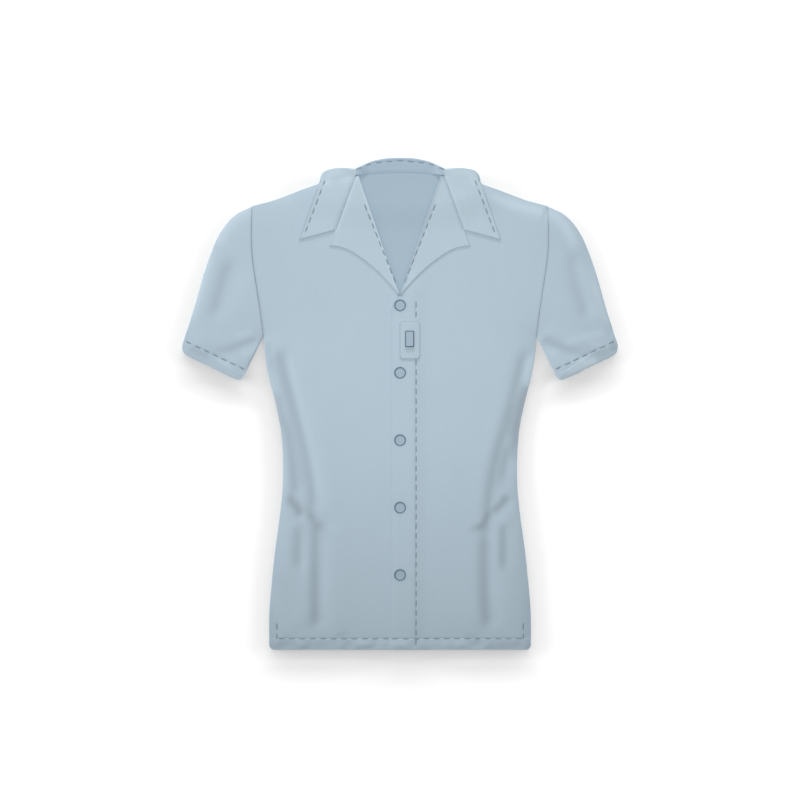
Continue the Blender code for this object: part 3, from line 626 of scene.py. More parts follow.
# %% Form of a crease
FROM_LAMP = np.array([0.80, -0.60])  # the way the light falls over the cloth, from the upper left
SWELL = 0.42  # the cloth beside a trough stands up by this share of the trough's depth
GENTLE = 2.0  # the wall that faces the lamp is this much wider than the other
TROUGH_SHIFT = 0.7  # from the dark wall to the bottom of the trough, away from the lamp
SWELL_SHIFT, SWELL_WIDTH = 0.5, 3.2  # from the bottom to the middle of the swell, and how wide it is
# width of a crease's painted shade, in its half widths
CREASE_TONE_WIDTH = 1.1
CREASE_REACH = 7  # the crease has come to nothing there
CREASE_LINES = [curve(crease.points, np.linspace(0, 1, 24)) for crease in CREASES]


def crease_shape(x, height):
    """What the creases add to the cloth's level, and how much painted shade they lay on it."""
    rise, tone = np.zeros(np.shape(x)), np.zeros(np.shape(x))
    for crease, line in zip(CREASES, CREASE_LINES):
        near = near_line(line, CREASE_REACH * max(crease.width), x, height)
        if not near.any():
            continue
        away, reached, left = distance_to(line, x[near], height[near])
        heading = line[-1] - line[0]
        leftward = np.array([-heading[1], heading[0]])
        away = away * left * np.sign(leftward @ FROM_LAMP)
        width = between(crease.width, reached)
        ends = faded(crease.fade, reached)
        u = away / width - TROUGH_SHIFT
        trough = bell(u, np.where(u < 0, 1.0, GENTLE))
        swell = SWELL * bell(u - SWELL_SHIFT, SWELL_WIDTH)
        rise[near] += crease.depth * ends * (swell - trough)
        tone[near] += between(crease.tone, reached) * ends * bell(away / width, CREASE_TONE_WIDTH)
    return rise, tone


rise, _ = crease_shape(np.array([-0.1220]), np.array([0.1119]))
print("depth of the trough that runs down to the hem on the left:", round(float(-rise[0]), 5))

# %% [markdown]
# ## Strokes of tone
#
# Beside the creases, at the hem and the cuffs, and on the high places of the shoulders and the sleeves,
# the cloth gets painted shade and painted highlights. Such tones could be vertex-painted, but a stroke in a
# table is easy to move and to soften. Each is laid as with a wide brush: points along it, its half width at
# both ends, its tone, which is negative where it is a painted highlight, and how softly it starts and ends:
# over the first and the last 30% of its length, if nothing else is said.

# %% Strokes
Shade = namedtuple("Shade", "points width tone fade", defaults=[(0.3, 0.3)])
SHADES = [
    # beside the long creases: painted shade between them and the side seam, painted highlight on their other
    # side
    Shade([(-0.1860, 0.3924), (-0.1815, 0.3669), (-0.1740, 0.3264)], (0.0070, 0.0050), 0.46),
    Shade(
        [(-0.1680, 0.4494), (-0.1605, 0.4134), (-0.1500, 0.3714), (-0.1350, 0.3144),
         (-0.1230, 0.2544), (-0.1170, 0.2124)],
        (0.0052, 0.0060), -0.31, (0.14, 0.2),
    ),
    Shade(
        [(0.1935, 0.4014), (0.1845, 0.3744), (0.1770, 0.3444), (0.1725, 0.3084), (0.1695, 0.2694)],
        (0.0080, 0.0080), 0.87, (0.10, 0.35),
    ),
    Shade(
        [(0.1620, 0.3324), (0.1545, 0.2994), (0.1485, 0.2574), (0.1425, 0.2214)],
        (0.0100, 0.0120), 0.20, (0.35, 0.25),
    ),
    Shade([(0.1980, 0.4494), (0.1905, 0.4194), (0.1845, 0.3954)], (0.0060, 0.0045), -0.53),
    # beside the creases that run to the hem: painted highlights, and a little painted shade further out on
    # the left
    Shade([(-0.1125, 0.1734), (-0.1118, 0.1119), (-0.1125, 0.0414)], (0.0060, 0.0060), -0.14, (0.15, 0.25)),
    Shade([(-0.1433, 0.1734), (-0.1433, 0.1344), (-0.1440, 0.0864)], (0.0050, 0.0050), -0.17, (0.3, 0.4)),
    Shade(
        [(0.1410, 0.1824), (0.1395, 0.1344), (0.1403, 0.0894), (0.1410, 0.0519)],
        (0.0050, 0.0055), -0.12, (0.2, 0.3),
    ),
    Shade(
        [(-0.1740, 0.2124), (-0.1845, 0.1794), (-0.1920, 0.1119), (-0.1980, 0.0564)],
        (0.0060, 0.0080), 0.10,
    ),
    # painted shade down at the corners of the hem, and painted shade and highlight above and below its
    # stitching
    Shade([(-0.2010, 0.0894), (-0.2018, 0.0369), (-0.1980, 0.0024)], (0.0110, 0.0150), 0.50, (0.5, 0.02)),
    Shade([(0.1935, 0.1194), (0.1950, 0.0594), (0.1980, 0.0024)], (0.0070, 0.0120), 0.24, (0.5, 0.02)),
    Shade([(-0.2070, 0.0069), (-0.1500, 0.0062), (-0.0990, 0.0054)], (0.0050, 0.0040), 0.16, (0.1, 0.2)),
    Shade([(-0.0780, 0.0114), (0.0000, 0.0114), (0.1110, 0.0114)], (0.0042, 0.0042), -0.62, (0.1, 0.1)),
    Shade([(-0.0720, 0.0054), (-0.0510, 0.0062), (-0.0285, 0.0069)], (0.0030, 0.0035), 0.30),
    Shade([(0.1230, 0.0054), (0.1590, 0.0069), (0.1920, 0.0084)], (0.0036, 0.0040), 0.26, (0.3, 0.2)),
    Shade([(-0.1005, 0.0189), (-0.0885, 0.0234), (-0.0750, 0.0287)], (0.0042, 0.0036), 0.40, (0.3, 0.4)),
    Shade([(0.0930, 0.0197), (0.1110, 0.0234), (0.1260, 0.0264)], (0.0036, 0.0036), 0.22, (0.3, 0.4)),
    # painted highlights on the highest places of the shoulders and of the sleeves' upper folds
    Shade(
        [(-0.2775, 0.5994), (-0.2685, 0.6219), (-0.2550, 0.6414), (-0.2370, 0.6549),
         (-0.2145, 0.6624)],
        (0.0100, 0.0105), -0.90, (0.2, 0.25),
    ),
    Shade(
        [(-0.2797, 0.6144), (-0.2895, 0.5784), (-0.2985, 0.5454), (-0.3075, 0.5124),
         (-0.3158, 0.4764)],
        (0.0078, 0.0066), -0.80, (0.15, 0.3),
    ),
    Shade([(-0.2070, 0.6654), (-0.1770, 0.6759), (-0.1470, 0.6879)], (0.0060, 0.0070), -0.26, (0.3, 0.4)),
    Shade(
        [(0.2175, 0.6564), (0.2325, 0.6504), (0.2460, 0.6369), (0.2580, 0.6144), (0.2670, 0.5889)],
        (0.0100, 0.0085), -0.95, (0.06, 0.4),
    ),
    Shade(
        [(0.2580, 0.5994), (0.2700, 0.5619), (0.2850, 0.5169), (0.2970, 0.4794)],
        (0.0130, 0.0110), -0.47,
    ),
    Shade([(0.2850, 0.5814), (0.2940, 0.5514), (0.3015, 0.5244)], (0.0060, 0.0050), -0.30, (0.3, 0.4)),
    Shade(
        [(0.1230, 0.6887), (0.1470, 0.6767), (0.1800, 0.6647), (0.2160, 0.6549)],
        (0.0080, 0.0095), -1.00, (0.3, 0.06),
    ),
    # the cuffs: painted shade below the stitching and at the outer corner, painted highlights under the
    # crosswise creases
    Shade([(-0.3180, 0.4539), (-0.3045, 0.4472), (-0.2820, 0.4374)], (0.0046, 0.0046), 0.34, (0.2, 0.3)),
    Shade([(-0.2760, 0.4359), (-0.2640, 0.4314), (-0.2505, 0.4254)], (0.0036, 0.0036), -0.40),
    Shade([(-0.2430, 0.4449), (-0.2250, 0.4464), (-0.2100, 0.4509)], (0.0075, 0.0070), -0.40),
    Shade([(0.2115, 0.4509), (0.2235, 0.4464), (0.2430, 0.4434)], (0.0070, 0.0070), -0.32),
    Shade([(0.3105, 0.4599), (0.3180, 0.4569), (0.3210, 0.4479)], (0.0050, 0.0090), 0.44, (0.4, 0.1)),
    Shade([(0.2805, 0.4404), (0.2955, 0.4449), (0.3105, 0.4494)], (0.0046, 0.0060), 0.34, (0.3, 0.1)),
    # painted shade below the left armpit, painted highlights over both underarms and the right cuff, and a
    # little of both down the left side
    Shade([(-0.1980, 0.4674), (-0.1958, 0.4404), (-0.1898, 0.4104)], (0.0045, 0.0045), 0.28, (0.2, 0.3)),
    Shade([(-0.2520, 0.4689), (-0.2340, 0.4734), (-0.2160, 0.4794)], (0.0050, 0.0050), -0.34),
    Shade([(0.2400, 0.4104), (0.2610, 0.4209), (0.2985, 0.4382)], (0.0050, 0.0055), -0.85, (0.3, 0.15)),
    Shade([(0.2400, 0.4569), (0.2730, 0.4674), (0.3090, 0.4779)], (0.0060, 0.0070), -0.55, (0.3, 0.1)),
    Shade([(0.2850, 0.5619), (0.3000, 0.5214), (0.3120, 0.4854)], (0.0060, 0.0065), -0.52, (0.3, 0.15)),
    Shade([(0.2445, 0.4389), (0.2700, 0.4344), (0.3015, 0.4284)], (0.0050, 0.0055), -0.55, (0.3, 0.15)),
    Shade([(0.2820, 0.4599), (0.2955, 0.4569), (0.3075, 0.4524)], (0.0040, 0.0045), -0.50, (0.3, 0.2)),
    Shade([(-0.1710, 0.3144), (-0.1718, 0.2694), (-0.1725, 0.2244)], (0.0045, 0.0045), -0.12),
    Shade([(-0.1500, 0.2919), (-0.1455, 0.2544), (-0.1440, 0.2244)], (0.0050, 0.0050), 0.12),
    Shade([(-0.1725, 0.1344), (-0.1740, 0.0744), (-0.1755, 0.0144)], (0.0150, 0.0150), 0.11, (0.3, 0.02)),
]
STROKE_REACH = 3  # in half widths: a stroke has come to nothing there


def strokes(table, x, height):
    """The painted shade and painted highlights of soft strokes over the cloth."""
    tone = np.zeros(np.shape(x))
    for stroke in table:
        line = curve(stroke.points, np.linspace(0, 1, 12))
        near = near_line(line, STROKE_REACH * max(stroke.width), x, height)
        if near.any():
            away, reached, _ = distance_to(line, x[near], height[near])
            ends = faded(stroke.fade, reached)
            tone[near] += stroke.tone * ends * bell(away, between(stroke.width, reached))
    return tone


print("soft strokes:", len(SHADES))

# %% [markdown]
# ## Layers
#
# From the floor up there are the collar's fall behind the neck, the back, some air, and then the front. The
# air builds up from the seams inwards, as it does in any shirt that isn't pressed flat. The left front laps
# over the right one along the buttons. Every panel below reads its level from these functions, so no two
# cut through each other.

# %% Layers


def side_half_width(height):
    """Half width of the body up to the shoulder tip, with the hem's corners rounded."""
    table = np.array(SIDE)
    width = hermite(table[:, 0], table[:, 1], np.asarray(height, dtype=float))
    short = np.clip(1.0 - height / HEM_CORNER, 0.0, 1.0)
    return width - HEM_CORNER * (1.0 - np.sqrt(1.0 - short**2))


def shoulder_height(out):
    """Height of the shoulder line at a distance from the middle."""
    line = np.array(SHOULDER)[::-1]
    return np.interp(np.abs(out), line[:, 0], line[:, 1])


def outer_edge(height):
    """Outer edge of the front and back at a height."""
    height = np.asarray(height, dtype=float)
    below = side_half_width(np.minimum(height, SHOULDER_TIP_HEIGHT))
    line = np.array(SHOULDER)
    return np.where(height <= SHOULDER_TIP_HEIGHT, below, np.interp(height, line[:, 1], line[:, 0]))


def roll_line(height):
    """Half width of the lapel's roll line at a height."""
    out, top = ROLL_TOP
    return out * (height - BREAK_HEIGHT) / (top - BREAK_HEIGHT)


def inner_edge(height):
    """The front's own edge: past the middle below the break, and just inside the roll line above it."""
    low, high = EDGE_CORNER
    if height <= low:
        return -OVERLAP
    if height < high:
        return -OVERLAP * np.sqrt(1.0 - ((height - low) / (high - low)) ** 2)
    return ROLL_INSET + max(0.0, roll_line(height))


def shirt_outline():
    """Right half of the outline of body and sleeve, from the middle of the hem to the neck point."""
    heights = np.concatenate([[0.0, 0.0012, 0.0040, 0.0082], np.linspace(0.02, ARMPIT_HEIGHT, 24)])
    side = np.stack([side_half_width(heights), heights], axis=1)
    steps = np.linspace(0, 1, 10)
    underarm = curve(SLEEVE_UNDERARM, steps)
    cuff = curve(SLEEVE_CUFF, steps)[::-1]
    top = curve(SLEEVE_TOP, steps)[::-1]
    outline = np.concatenate([[[0.0, 0.0]], side, underarm, cuff, top, np.array(SHOULDER)])
    apart = np.linalg.norm(np.diff(outline, axis=0), axis=1) > GAP
    return outline[np.concatenate([[True], apart])]


OUTLINE = shirt_outline()
armhole_heights = np.linspace(ARMPIT_HEIGHT, SHOULDER_TIP_HEIGHT, 30)
ARMHOLE = np.stack([side_half_width(armhole_heights), armhole_heights], axis=1)
FALL_LINE = np.array(FALL_EDGE)[::-1]


def back_lift(x, height):
    """Underside of the back above the floor: it lies over the part of the collar that falls behind it."""
    x = np.abs(x)
    below = np.maximum(0.0, np.interp(x, FALL_LINE[:, 0], FALL_LINE[:, 1]) - height)
    beside = np.maximum(0.0, x - FALL_LINE[-1, 0])
    return (COLLAR + GAP) * (1.0 - smooth((np.hypot(below, beside) - FALL_MARGIN) / FALL_FADE))


# length, phase and share of each wave that ripples the hem
HEM_WAVES = [(0.031, 0.4, 0.9), (0.047, 2.1, 1.0), (0.0196, 4.0, 0.6), (0.073, 1.2, 0.8)]
HEM_RIPPLE, HEM_RIPPLE_HEIGHT, HEM_RIPPLE_REACH = 0.00030, 0.006, 0.008
LEAST_AIR, SETTLE_REACH = 0.0002, 0.006  # the layers never touch, except where a seam holds them down


def hem_ripple(x, height):
    """Small waves of the cloth between the hem's edge and its row of stitching."""
    wave = sum(share * np.sin(2 * np.pi * x / length + turn) for length, turn, share in HEM_WAVES)
    return HEM_RIPPLE * wave * bell(height - HEM_RIPPLE_HEIGHT, HEM_RIPPLE_REACH)


def front_air(x, height):
    """Air between the back and the upper layer."""
    away, _, _ = distance_to(OUTLINE, np.abs(x), height)
    inside = (np.abs(x) > SHOULDER[0].out) | (height < shoulder_height(x))
    puff = PUFF * (1.0 - np.exp(-away / PUFF_REACH))
    crease, _ = crease_shape(x, height)
    settled = smooth(away / SETTLE_REACH)
    air = np.maximum(LEAST_AIR * settled, puff + crease * settled + hem_ripple(x, height) * settled)
    return np.where(inside, air, 0.0)


def front_lift(x, height):
    """Underside of the upper layer, front or sleeve, above the floor."""
    return back_lift(x, height) + CLOTH + GAP + front_air(x, height)


def lap_lift(x, height):
    """What the front that laps over is raised by, where the other front lies under it."""
    start, end = LAP_FADE
    across = 1.0 - smooth((x - start) / (end - start))
    upward = 1.0 - smooth((height - BREAK_HEIGHT) / LAP_FADE_ABOVE)
    return (CLOTH + GAP) * across * upward


def front_top(side, x, height):
    """Upper surface of the front on one side: 1 is the one that laps over."""
    raised = lap_lift(x, height) if side > 0 else 0.0
    return front_lift(x, height) + CLOTH + raised


chest = front_top(1, np.array([0.1]), np.array([0.5]))
print("level of the chest above the floor:", round(float(chest[0]), 5))

# %% [markdown]
# ## Cloth
#
# Plain-woven cotton is matt and softly streaked: its threads vary in thickness, along the cloth and across
# it. Two noises stretched one way each give the warp and the weft, for the colour and for a shallow bump. A
# third, wide one gives the faint clouds of washed cloth. Two attributes on the mesh tint it: "inside" for
# the duller wrong side, with painted shade where it shows inside the neck, and "crease" for painted shade
# in the folds, at the seams, the stitching and the edges. Where "crease" is negative it brings a painted
# highlight.

# %% Cloth finish
LIGHT = 1.125  # the light on level cloth at the chest: what a white would read there


def as_dyed(seen):
    """A material's own colour, from its colour in the photograph's light."""
    return (*(value / LIGHT for value in seen), 1.0)


def mix_colour(tree, factor, first, second, blend="MIX"):
    """A colour mix. Each input is a socket, or a colour."""
    mix = tree.nodes.new("ShaderNodeMix")
    mix.data_type = "RGBA"
    mix.blend_type = blend
    for key, value in ((0, factor), (6, first), (7, second)):
        if isinstance(value, bpy.types.NodeSocket):
            tree.links.new(value, mix.inputs[key])
        else:
            mix.inputs[key].default_value = value
    return mix.outputs[2]


def stretched_noise(tree, scale, detail=2.0):
    """Noise on the object's own coordinates, with its own scale along each axis, in features per metre."""
    where = tree.nodes.new("ShaderNodeTexCoord")
    scaled = tree.nodes.new("ShaderNodeMapping")
    set_inputs(scaled, {"Scale": scale})
    noise = tree.nodes.new("ShaderNodeTexNoise")
    set_inputs(noise, {"Scale": 1.0, "Detail": detail})
    tree.links.new(where.outputs["Object"], scaled.inputs["Vector"])
    tree.links.new(scaled.outputs["Vector"], noise.inputs["Vector"])
    return noise.outputs["Fac"]


def arithmetic(tree, operation, first, second=None, clamp=False):
    """One maths node. Each input is a socket, or a number."""
    node = tree.nodes.new("ShaderNodeMath")
    node.operation = operation
    node.use_clamp = clamp
    for key, value in enumerate((first, second)):
        if isinstance(value, bpy.types.NodeSocket):
            tree.links.new(value, node.inputs[key])
        elif value is not None:
            node.inputs[key].default_value = value
    return node.outputs[0]


def attribute(tree, name):
    """A value that is stored on the mesh."""
    node = tree.nodes.new("ShaderNodeAttribute")
    node.attribute_name = name
    return node.outputs["Fac"]


def ranged(tree, fraction, low, span):
    """A fraction stretched to run from low over a span."""
    value = arithmetic(tree, "MULTIPLY_ADD", fraction, span)
    value.node.inputs[2].default_value = low
    return value


def shaded(tree, colour, share):
    """A colour multiplied by a share, the same for each of its three parts."""
    grey = tree.nodes.new("ShaderNodeCombineColor")
    for key in range(3):
        tree.links.new(share, grey.inputs[key])
    return mix_colour(tree, 1.0, colour, grey.outputs[0], "MULTIPLY")


# the wrong side is duller, and its colour also holds painted shade where it shows inside the neck
OUTSIDE_SEEN, WRONG_SIDE_SHADED_SEEN = (0.473, 0.591, 0.680), (0.399, 0.514, 0.606)
PRESSED_SEEN, PRESSED_WRONG_SIDE_SHADED_SEEN = (0.490, 0.609, 0.690), (0.404, 0.520, 0.626)
FOLDED_SEEN = (0.480, 0.597, 0.682)
PAINTED_SHADE_SEEN = (0.345, 0.420, 0.488)
PAINTED_HIGHLIGHT_SEEN = (0.611, 0.743, 0.830)
PAINTED_HIGHLIGHT_SHARE = 0.6  # how much of the painted highlight colour a tone of -1 brings
THREADS_PER_METRE, SLUBS_PER_METRE, CLOUDS_PER_METRE = 1300.0, 70.0, 9.0
STREAKS, CLOUDS = (0.94, 0.06), (0.975, 0.05)  # lowest share of the colour, and the span above it
WEAVE_BUMP = {"Strength": 0.35, "Distance": 0.00012}
COTTON = {"Roughness": 0.88, "Specular IOR Level": 0.25, "Sheen Weight": 0.06, "Sheen Roughness": 0.6}


def cloth_finish(name, seen, wrong_side_shaded_seen):
    """Matt cotton, from the colours of its outer and wrong side in the photograph, the wrong side's with
    painted shade.
    """
    finish, tree, shader = new_finish(name)
    warp = stretched_noise(tree, (THREADS_PER_METRE, SLUBS_PER_METRE, SLUBS_PER_METRE))
    weft = stretched_noise(tree, (SLUBS_PER_METRE, THREADS_PER_METRE, SLUBS_PER_METRE))
    cloud = stretched_noise(tree, (CLOUDS_PER_METRE,) * 3, 3.0)
    threads = arithmetic(tree, "ADD", warp, weft)
    share = arithmetic(tree, "MULTIPLY", ranged(tree, threads, *STREAKS), ranged(tree, cloud, *CLOUDS))
    colour = mix_colour(tree, attribute(tree, "inside"), as_dyed(seen), as_dyed(wrong_side_shaded_seen))
    # the attribute "crease" brings painted shade, and a painted highlight where it is negative
    painted_highlight = arithmetic(tree, "MULTIPLY", attribute(tree, "crease"), -PAINTED_HIGHLIGHT_SHARE, clamp=True)
    colour = mix_colour(tree, painted_highlight, colour, as_dyed(PAINTED_HIGHLIGHT_SEEN))
    colour = mix_colour(tree, attribute(tree, "crease"), colour, as_dyed(PAINTED_SHADE_SEEN))
    tree.links.new(shaded(tree, colour, share), shader.inputs["Base Color"])
    bump = tree.nodes.new("ShaderNodeBump")
    set_inputs(bump, WEAVE_BUMP)
    tree.links.new(threads, bump.inputs["Height"])
    tree.links.new(bump.outputs["Normal"], shader.inputs["Normal"])
    set_inputs(shader, COTTON)
    return finish


shirt_finish = cloth_finish("washed_cotton", OUTSIDE_SEEN, WRONG_SIDE_SHADED_SEEN)
collar_finish = cloth_finish("pressed_cotton", PRESSED_SEEN, PRESSED_WRONG_SIDE_SHADED_SEEN)
print("finishes:", shirt_finish.name, collar_finish.name)

# %% [markdown]
# ## Thin closed shells
#
# A panel could be one sheet with a Solidify modifier, but the edge of folded cloth is round, and each side
# of it has its own tint. So a panel is two skins with the same faces, closed by a wall along their open
# edges, and both skins are drawn together towards each other within a few tenths of a millimetre of the
# edge.

# %% Shells
EDGE_SLIVER = 0.14  # what is left of the thickness at the very edge


def place(x, height, z):
    """Points in the shirt's frame from widths, heights above the hem and heights off the floor."""
    x, height, z = np.broadcast_arrays(x, height, z)
    return np.stack([x, height - LENGTH / 2, z], axis=-1)


def grid_quads(rows, columns, flip=False, wrapped=False):
    """Faces of a grid of points stored row by row."""
    quads = []
    for i in range(rows - 1):
        for j in range(columns if wrapped else columns - 1):
            k = (j + 1) % columns
            quad = (i * columns + j, i * columns + k, (i + 1) * columns + k, (i + 1) * columns + j)
            quads.append(quad[::-1] if flip else quad)
    return quads


def open_edges_of(quads):
    """Edges that only one face has, in that face's direction."""
    found = {}
    for quad in quads:
        for a, b in zip(quad, quad[1:] + quad[:1]):
            if (b, a) in found:
                del found[(b, a)]
            else:
                found[(a, b)] = True
    return list(found)


def rounded(outer, inner, edges, radius, blunt):
    """Both skins, drawn together near the open edges."""
    middle, half = (outer + inner) / 2, (outer - inner) / 2
    rim = sorted({v for edge in edges for v in edge} - set(blunt))
    tree = KDTree(len(rim))
    for v in rim:
        tree.insert(middle[v], v)
    tree.balance()
    away = np.array([tree.find(point)[2] for point in middle])
    share = np.sqrt(1.0 - np.clip(1.0 - away / radius, 0.0, 1.0) ** 2)
    half = half * np.maximum(share, EDGE_SLIVER)[:, None]
    return middle + half, middle - half


def link(name, mesh, finish, sharp=0.9):
    """An object of a mesh, in the shirt's light. Edges that turn by more than sharp stay hard."""
    mesh.shade_smooth()
    mesh.set_sharp_from_angle(angle=sharp)
    mesh.materials.append(finish)
    made = bpy.data.objects.new(name, mesh)
    scene.collection.objects.link(made)
    shirt_only.objects.link(made)
    shade_makers.objects.link(made)
    return made


def shell(
    name, outer, inner, quads, finish, crease, outer_inside=0.0, inner_inside=1.0, blunt=(), radius=None
):
    """One closed body from two skins. The "inside" values are each skin's share of the wrong side.

    The points named in blunt keep their full thickness. The radius is that of the rounded edges.
    """
    count = len(outer)
    edges = open_edges_of(quads)
    radius = radius or float(np.median(np.linalg.norm(outer - inner, axis=1))) / 2
    outer, inner = rounded(outer, inner, edges, radius, blunt)
    faces = list(quads)
    faces += [tuple(count + v for v in reversed(quad)) for quad in quads]
    faces += [(b, a, count + a, count + b) for a, b in edges]
    mesh = bpy.data.meshes.new(name)
    mesh.from_pydata([tuple(v) for v in np.concatenate([outer, inner])], [], faces)
    mesh.validate()
    # the crease values are painted shade, and painted highlights where they are negative
    crease = np.ravel(crease)
    inside = np.concatenate([np.broadcast_to(outer_inside, count), np.broadcast_to(inner_inside, count)])
    for key, values in (("crease", np.concatenate([crease, crease])), ("inside", inside)):
        stored = mesh.attributes.new(key, "FLOAT", "POINT")
        stored.data.foreach_set("value", values.astype(np.float32))
    made = link(name, mesh, finish)
    print(name, 4 * len(quads) + 2 * len(edges), "triangles")
    return made


# %% [markdown]
# ## Back
#
# The back is one panel. From above only its wrong side shows, inside the neck, so a scrap behind the collar
# would do for the picture. But the shirt is also seen from below and from the sides, so it is made whole.
# It has soft creases of its own that stand up into the air under the front.

# %% Back
# the last number of each crease is the painted shade along it
BACK_CREASES = [
    Crease([(-0.120, 0.452), (-0.100, 0.380), (-0.095, 0.300)], (0.009, 0.008), 0.0011, (0.2, 0.3), 0.5),
    Crease([(0.128, 0.455), (0.105, 0.372), (0.100, 0.310)], (0.008, 0.009), 0.0012, (0.2, 0.3), 0.5),
    Crease([(-0.085, 0.235), (-0.030, 0.214), (0.024, 0.222)], (0.007, 0.006), 0.0009, (0.3, 0.3), 0.6),
    Crease([(0.090, 0.240), (0.052, 0.224), (0.030, 0.190)], (0.007, 0.007), 0.0010, (0.3, 0.3), 0.6),
    Crease([(-0.070, 0.205), (-0.074, 0.140), (-0.068, 0.060)], (0.008, 0.007), 0.0012, (0.2, 0.2), 0.5),
    Crease([(0.066, 0.190), (0.074, 0.120), (0.070, 0.050)], (0.007, 0.008), 0.0011, (0.2, 0.2), 0.5),
    Crease([(-0.060, 0.560), (-0.020, 0.470), (-0.014, 0.400)], (0.009, 0.008), 0.0008, (0.3, 0.3), 0.4),
]
BACK_CREASE_LINES = [curve(crease.points, np.linspace(0, 1, 16)) for crease in BACK_CREASES]
BACK_CREASE_LIMIT = 0.5  # the back's creases take up at most this share of the air under the front
BACK_STITCH_DIP = 0.0006  # the bars on the underside lie in a groove this deep
BACK_WIDTH, BACK_COLUMN_STEP = 0.40, 0.0042
# rows of a panel near the hem: crowded at its edge and at its stitching
HEM_ROWS = np.concatenate([graded(0.030, 0.0016)[:-5], np.arange(0.0145, 0.0200, 0.0005)])
BACK_BLUNT = 8  # the top edge is blunt where it meets the collar, up to this many points from its ends


def back_creases(x, height):
    """What the back's own creases raise it by, and how much painted shade they lay on it."""
    rise, tone = np.zeros(np.shape(x)), np.zeros(np.shape(x))
    for crease, line in zip(BACK_CREASES, BACK_CREASE_LINES):
        away, reached, _ = distance_to(line, x, height)
        ridge = faded(crease.fade, reached) * bell(away, between(crease.width, reached))
        rise += crease.depth * ridge
        tone += crease.tone * ridge
    return np.minimum(rise, BACK_CREASE_LIMIT * front_air(x, height)), tone


def heights_up_to(top, step):
    """Rows of a panel: crowded near the hem, at the curved front corner and at the top."""
    low, high = EDGE_CORNER
    corner = low + (high - low) * np.sin(np.linspace(0, np.pi / 2, 14))
    rest = np.arange(0.032, top - 0.003, step)
    near_top = top - graded(0.010, 0.0012)[:6]
    fixed = [SHOULDER_TIP_HEIGHT]
    rows = np.unique(np.round(np.concatenate([HEM_ROWS, corner, rest, near_top, fixed]), 6))
    keep = np.concatenate([[True], np.diff(rows) > 0.00006])
    return rows[keep]


def back_places(step):
    """Places over the back, row by row."""
    heights = heights_up_to(NECK_HEIGHT - GAP, step)
    half = outer_edge(heights)
    rows = []
    for width in half:
        across = graded(2 * width, BACK_COLUMN_STEP)
        middle = np.linspace(across[5], across[-6], round(BACK_WIDTH / BACK_COLUMN_STEP) + 1)
        rows.append(np.concatenate([across[:5], middle, across[-5:]]) - width)
    x = np.array(rows)
    height = np.repeat(heights[:, None], x.shape[1], axis=1)
    height[-1] += NECK_SEAM_RISE * (1.0 - (x[-1] / NECK_HALF_WIDTH) ** 2)
    return x, height


x, height = back_places(0.0040)
rise, back_tone = back_creases(x, height)
level = back_lift(x, height) + rise
back = shell(
    "back_panel",
    place(x, height, level + CLOTH).reshape(-1, 3),
    place(x, height, level + dip(BACK_BARS, x, height, BACK_STITCH_DIP)).reshape(-1, 3),
    grid_quads(*x.shape),
    shirt_finish,
    crease=back_tone,
    outer_inside=1.0,
    inner_inside=0.0,
    blunt=range(x.size - x.shape[1] + BACK_BLUNT, x.size - BACK_BLUNT),
)

# %% [markdown]
# ## Fronts
#
# Each front runs from its own edge to the side seam, armhole and shoulder. The edge under the lapel stops
# inside the lapel's roll. The lapping front is thinned towards its edge, where pressed cloth lies flattest.

# %% Fronts
FACING_EDGE, FACING_STEP, FACING_FADE = 0.0262, 0.00016, 0.0012  # the facing shows through as a faint step
PRESSED, PRESSED_REACH = 0.0005, 0.006  # how much thinner the lapping front is at its own edge
PRESSED_TOP, PRESSED_FADE = 0.49, 0.02
HEM_FOLD = 0.00035  # a folded hem stands up by this much, as far as its row of stitching
HEM_FOLD_START, HEM_FOLD_FADE = 0.0008, 0.0012
EDGE_LINES = [(0.0, 0.0009, 0.38), (0.0028, 0.0020, 0.17)]  # distance from the own edge, reach and tone of lines of painted shade along it
EDGE_LINES_FADE = 0.008
FULL_FRONT = 0.12  # where a front is narrower than this, its columns are drawn together


def front_columns(width):
    """Distances from the front's own edge: crowded at both edges and at the placket's stitching."""
    scale = min(1.0, width / FULL_FRONT)
    line = OVERLAP + PLACKET_LINE
    up_to_line = np.linspace(0.0035, line - 0.003, 12)
    round_line = line + np.linspace(-0.002, 0.002, 9)
    first = np.concatenate([EDGE_STEPS, up_to_line, round_line, [line + 0.0034]]) * scale
    last = width - EDGE_STEPS[::-1] * scale
    middle = np.linspace(first[-1], last[0], 62)
    return np.concatenate([first, middle[1:-1], last])


def front_places(side, step):
    """Places over one front, row by row."""
    heights = heights_up_to(FRONT_TOP_HEIGHT, step)
    rows = []
    for row in heights:
        start, end = inner_edge(row), float(outer_edge(row))
        rows.append(start + front_columns(end - start))
    out = np.array(rows)
    return side * out, np.repeat(heights[:, None], out.shape[1], axis=1), out


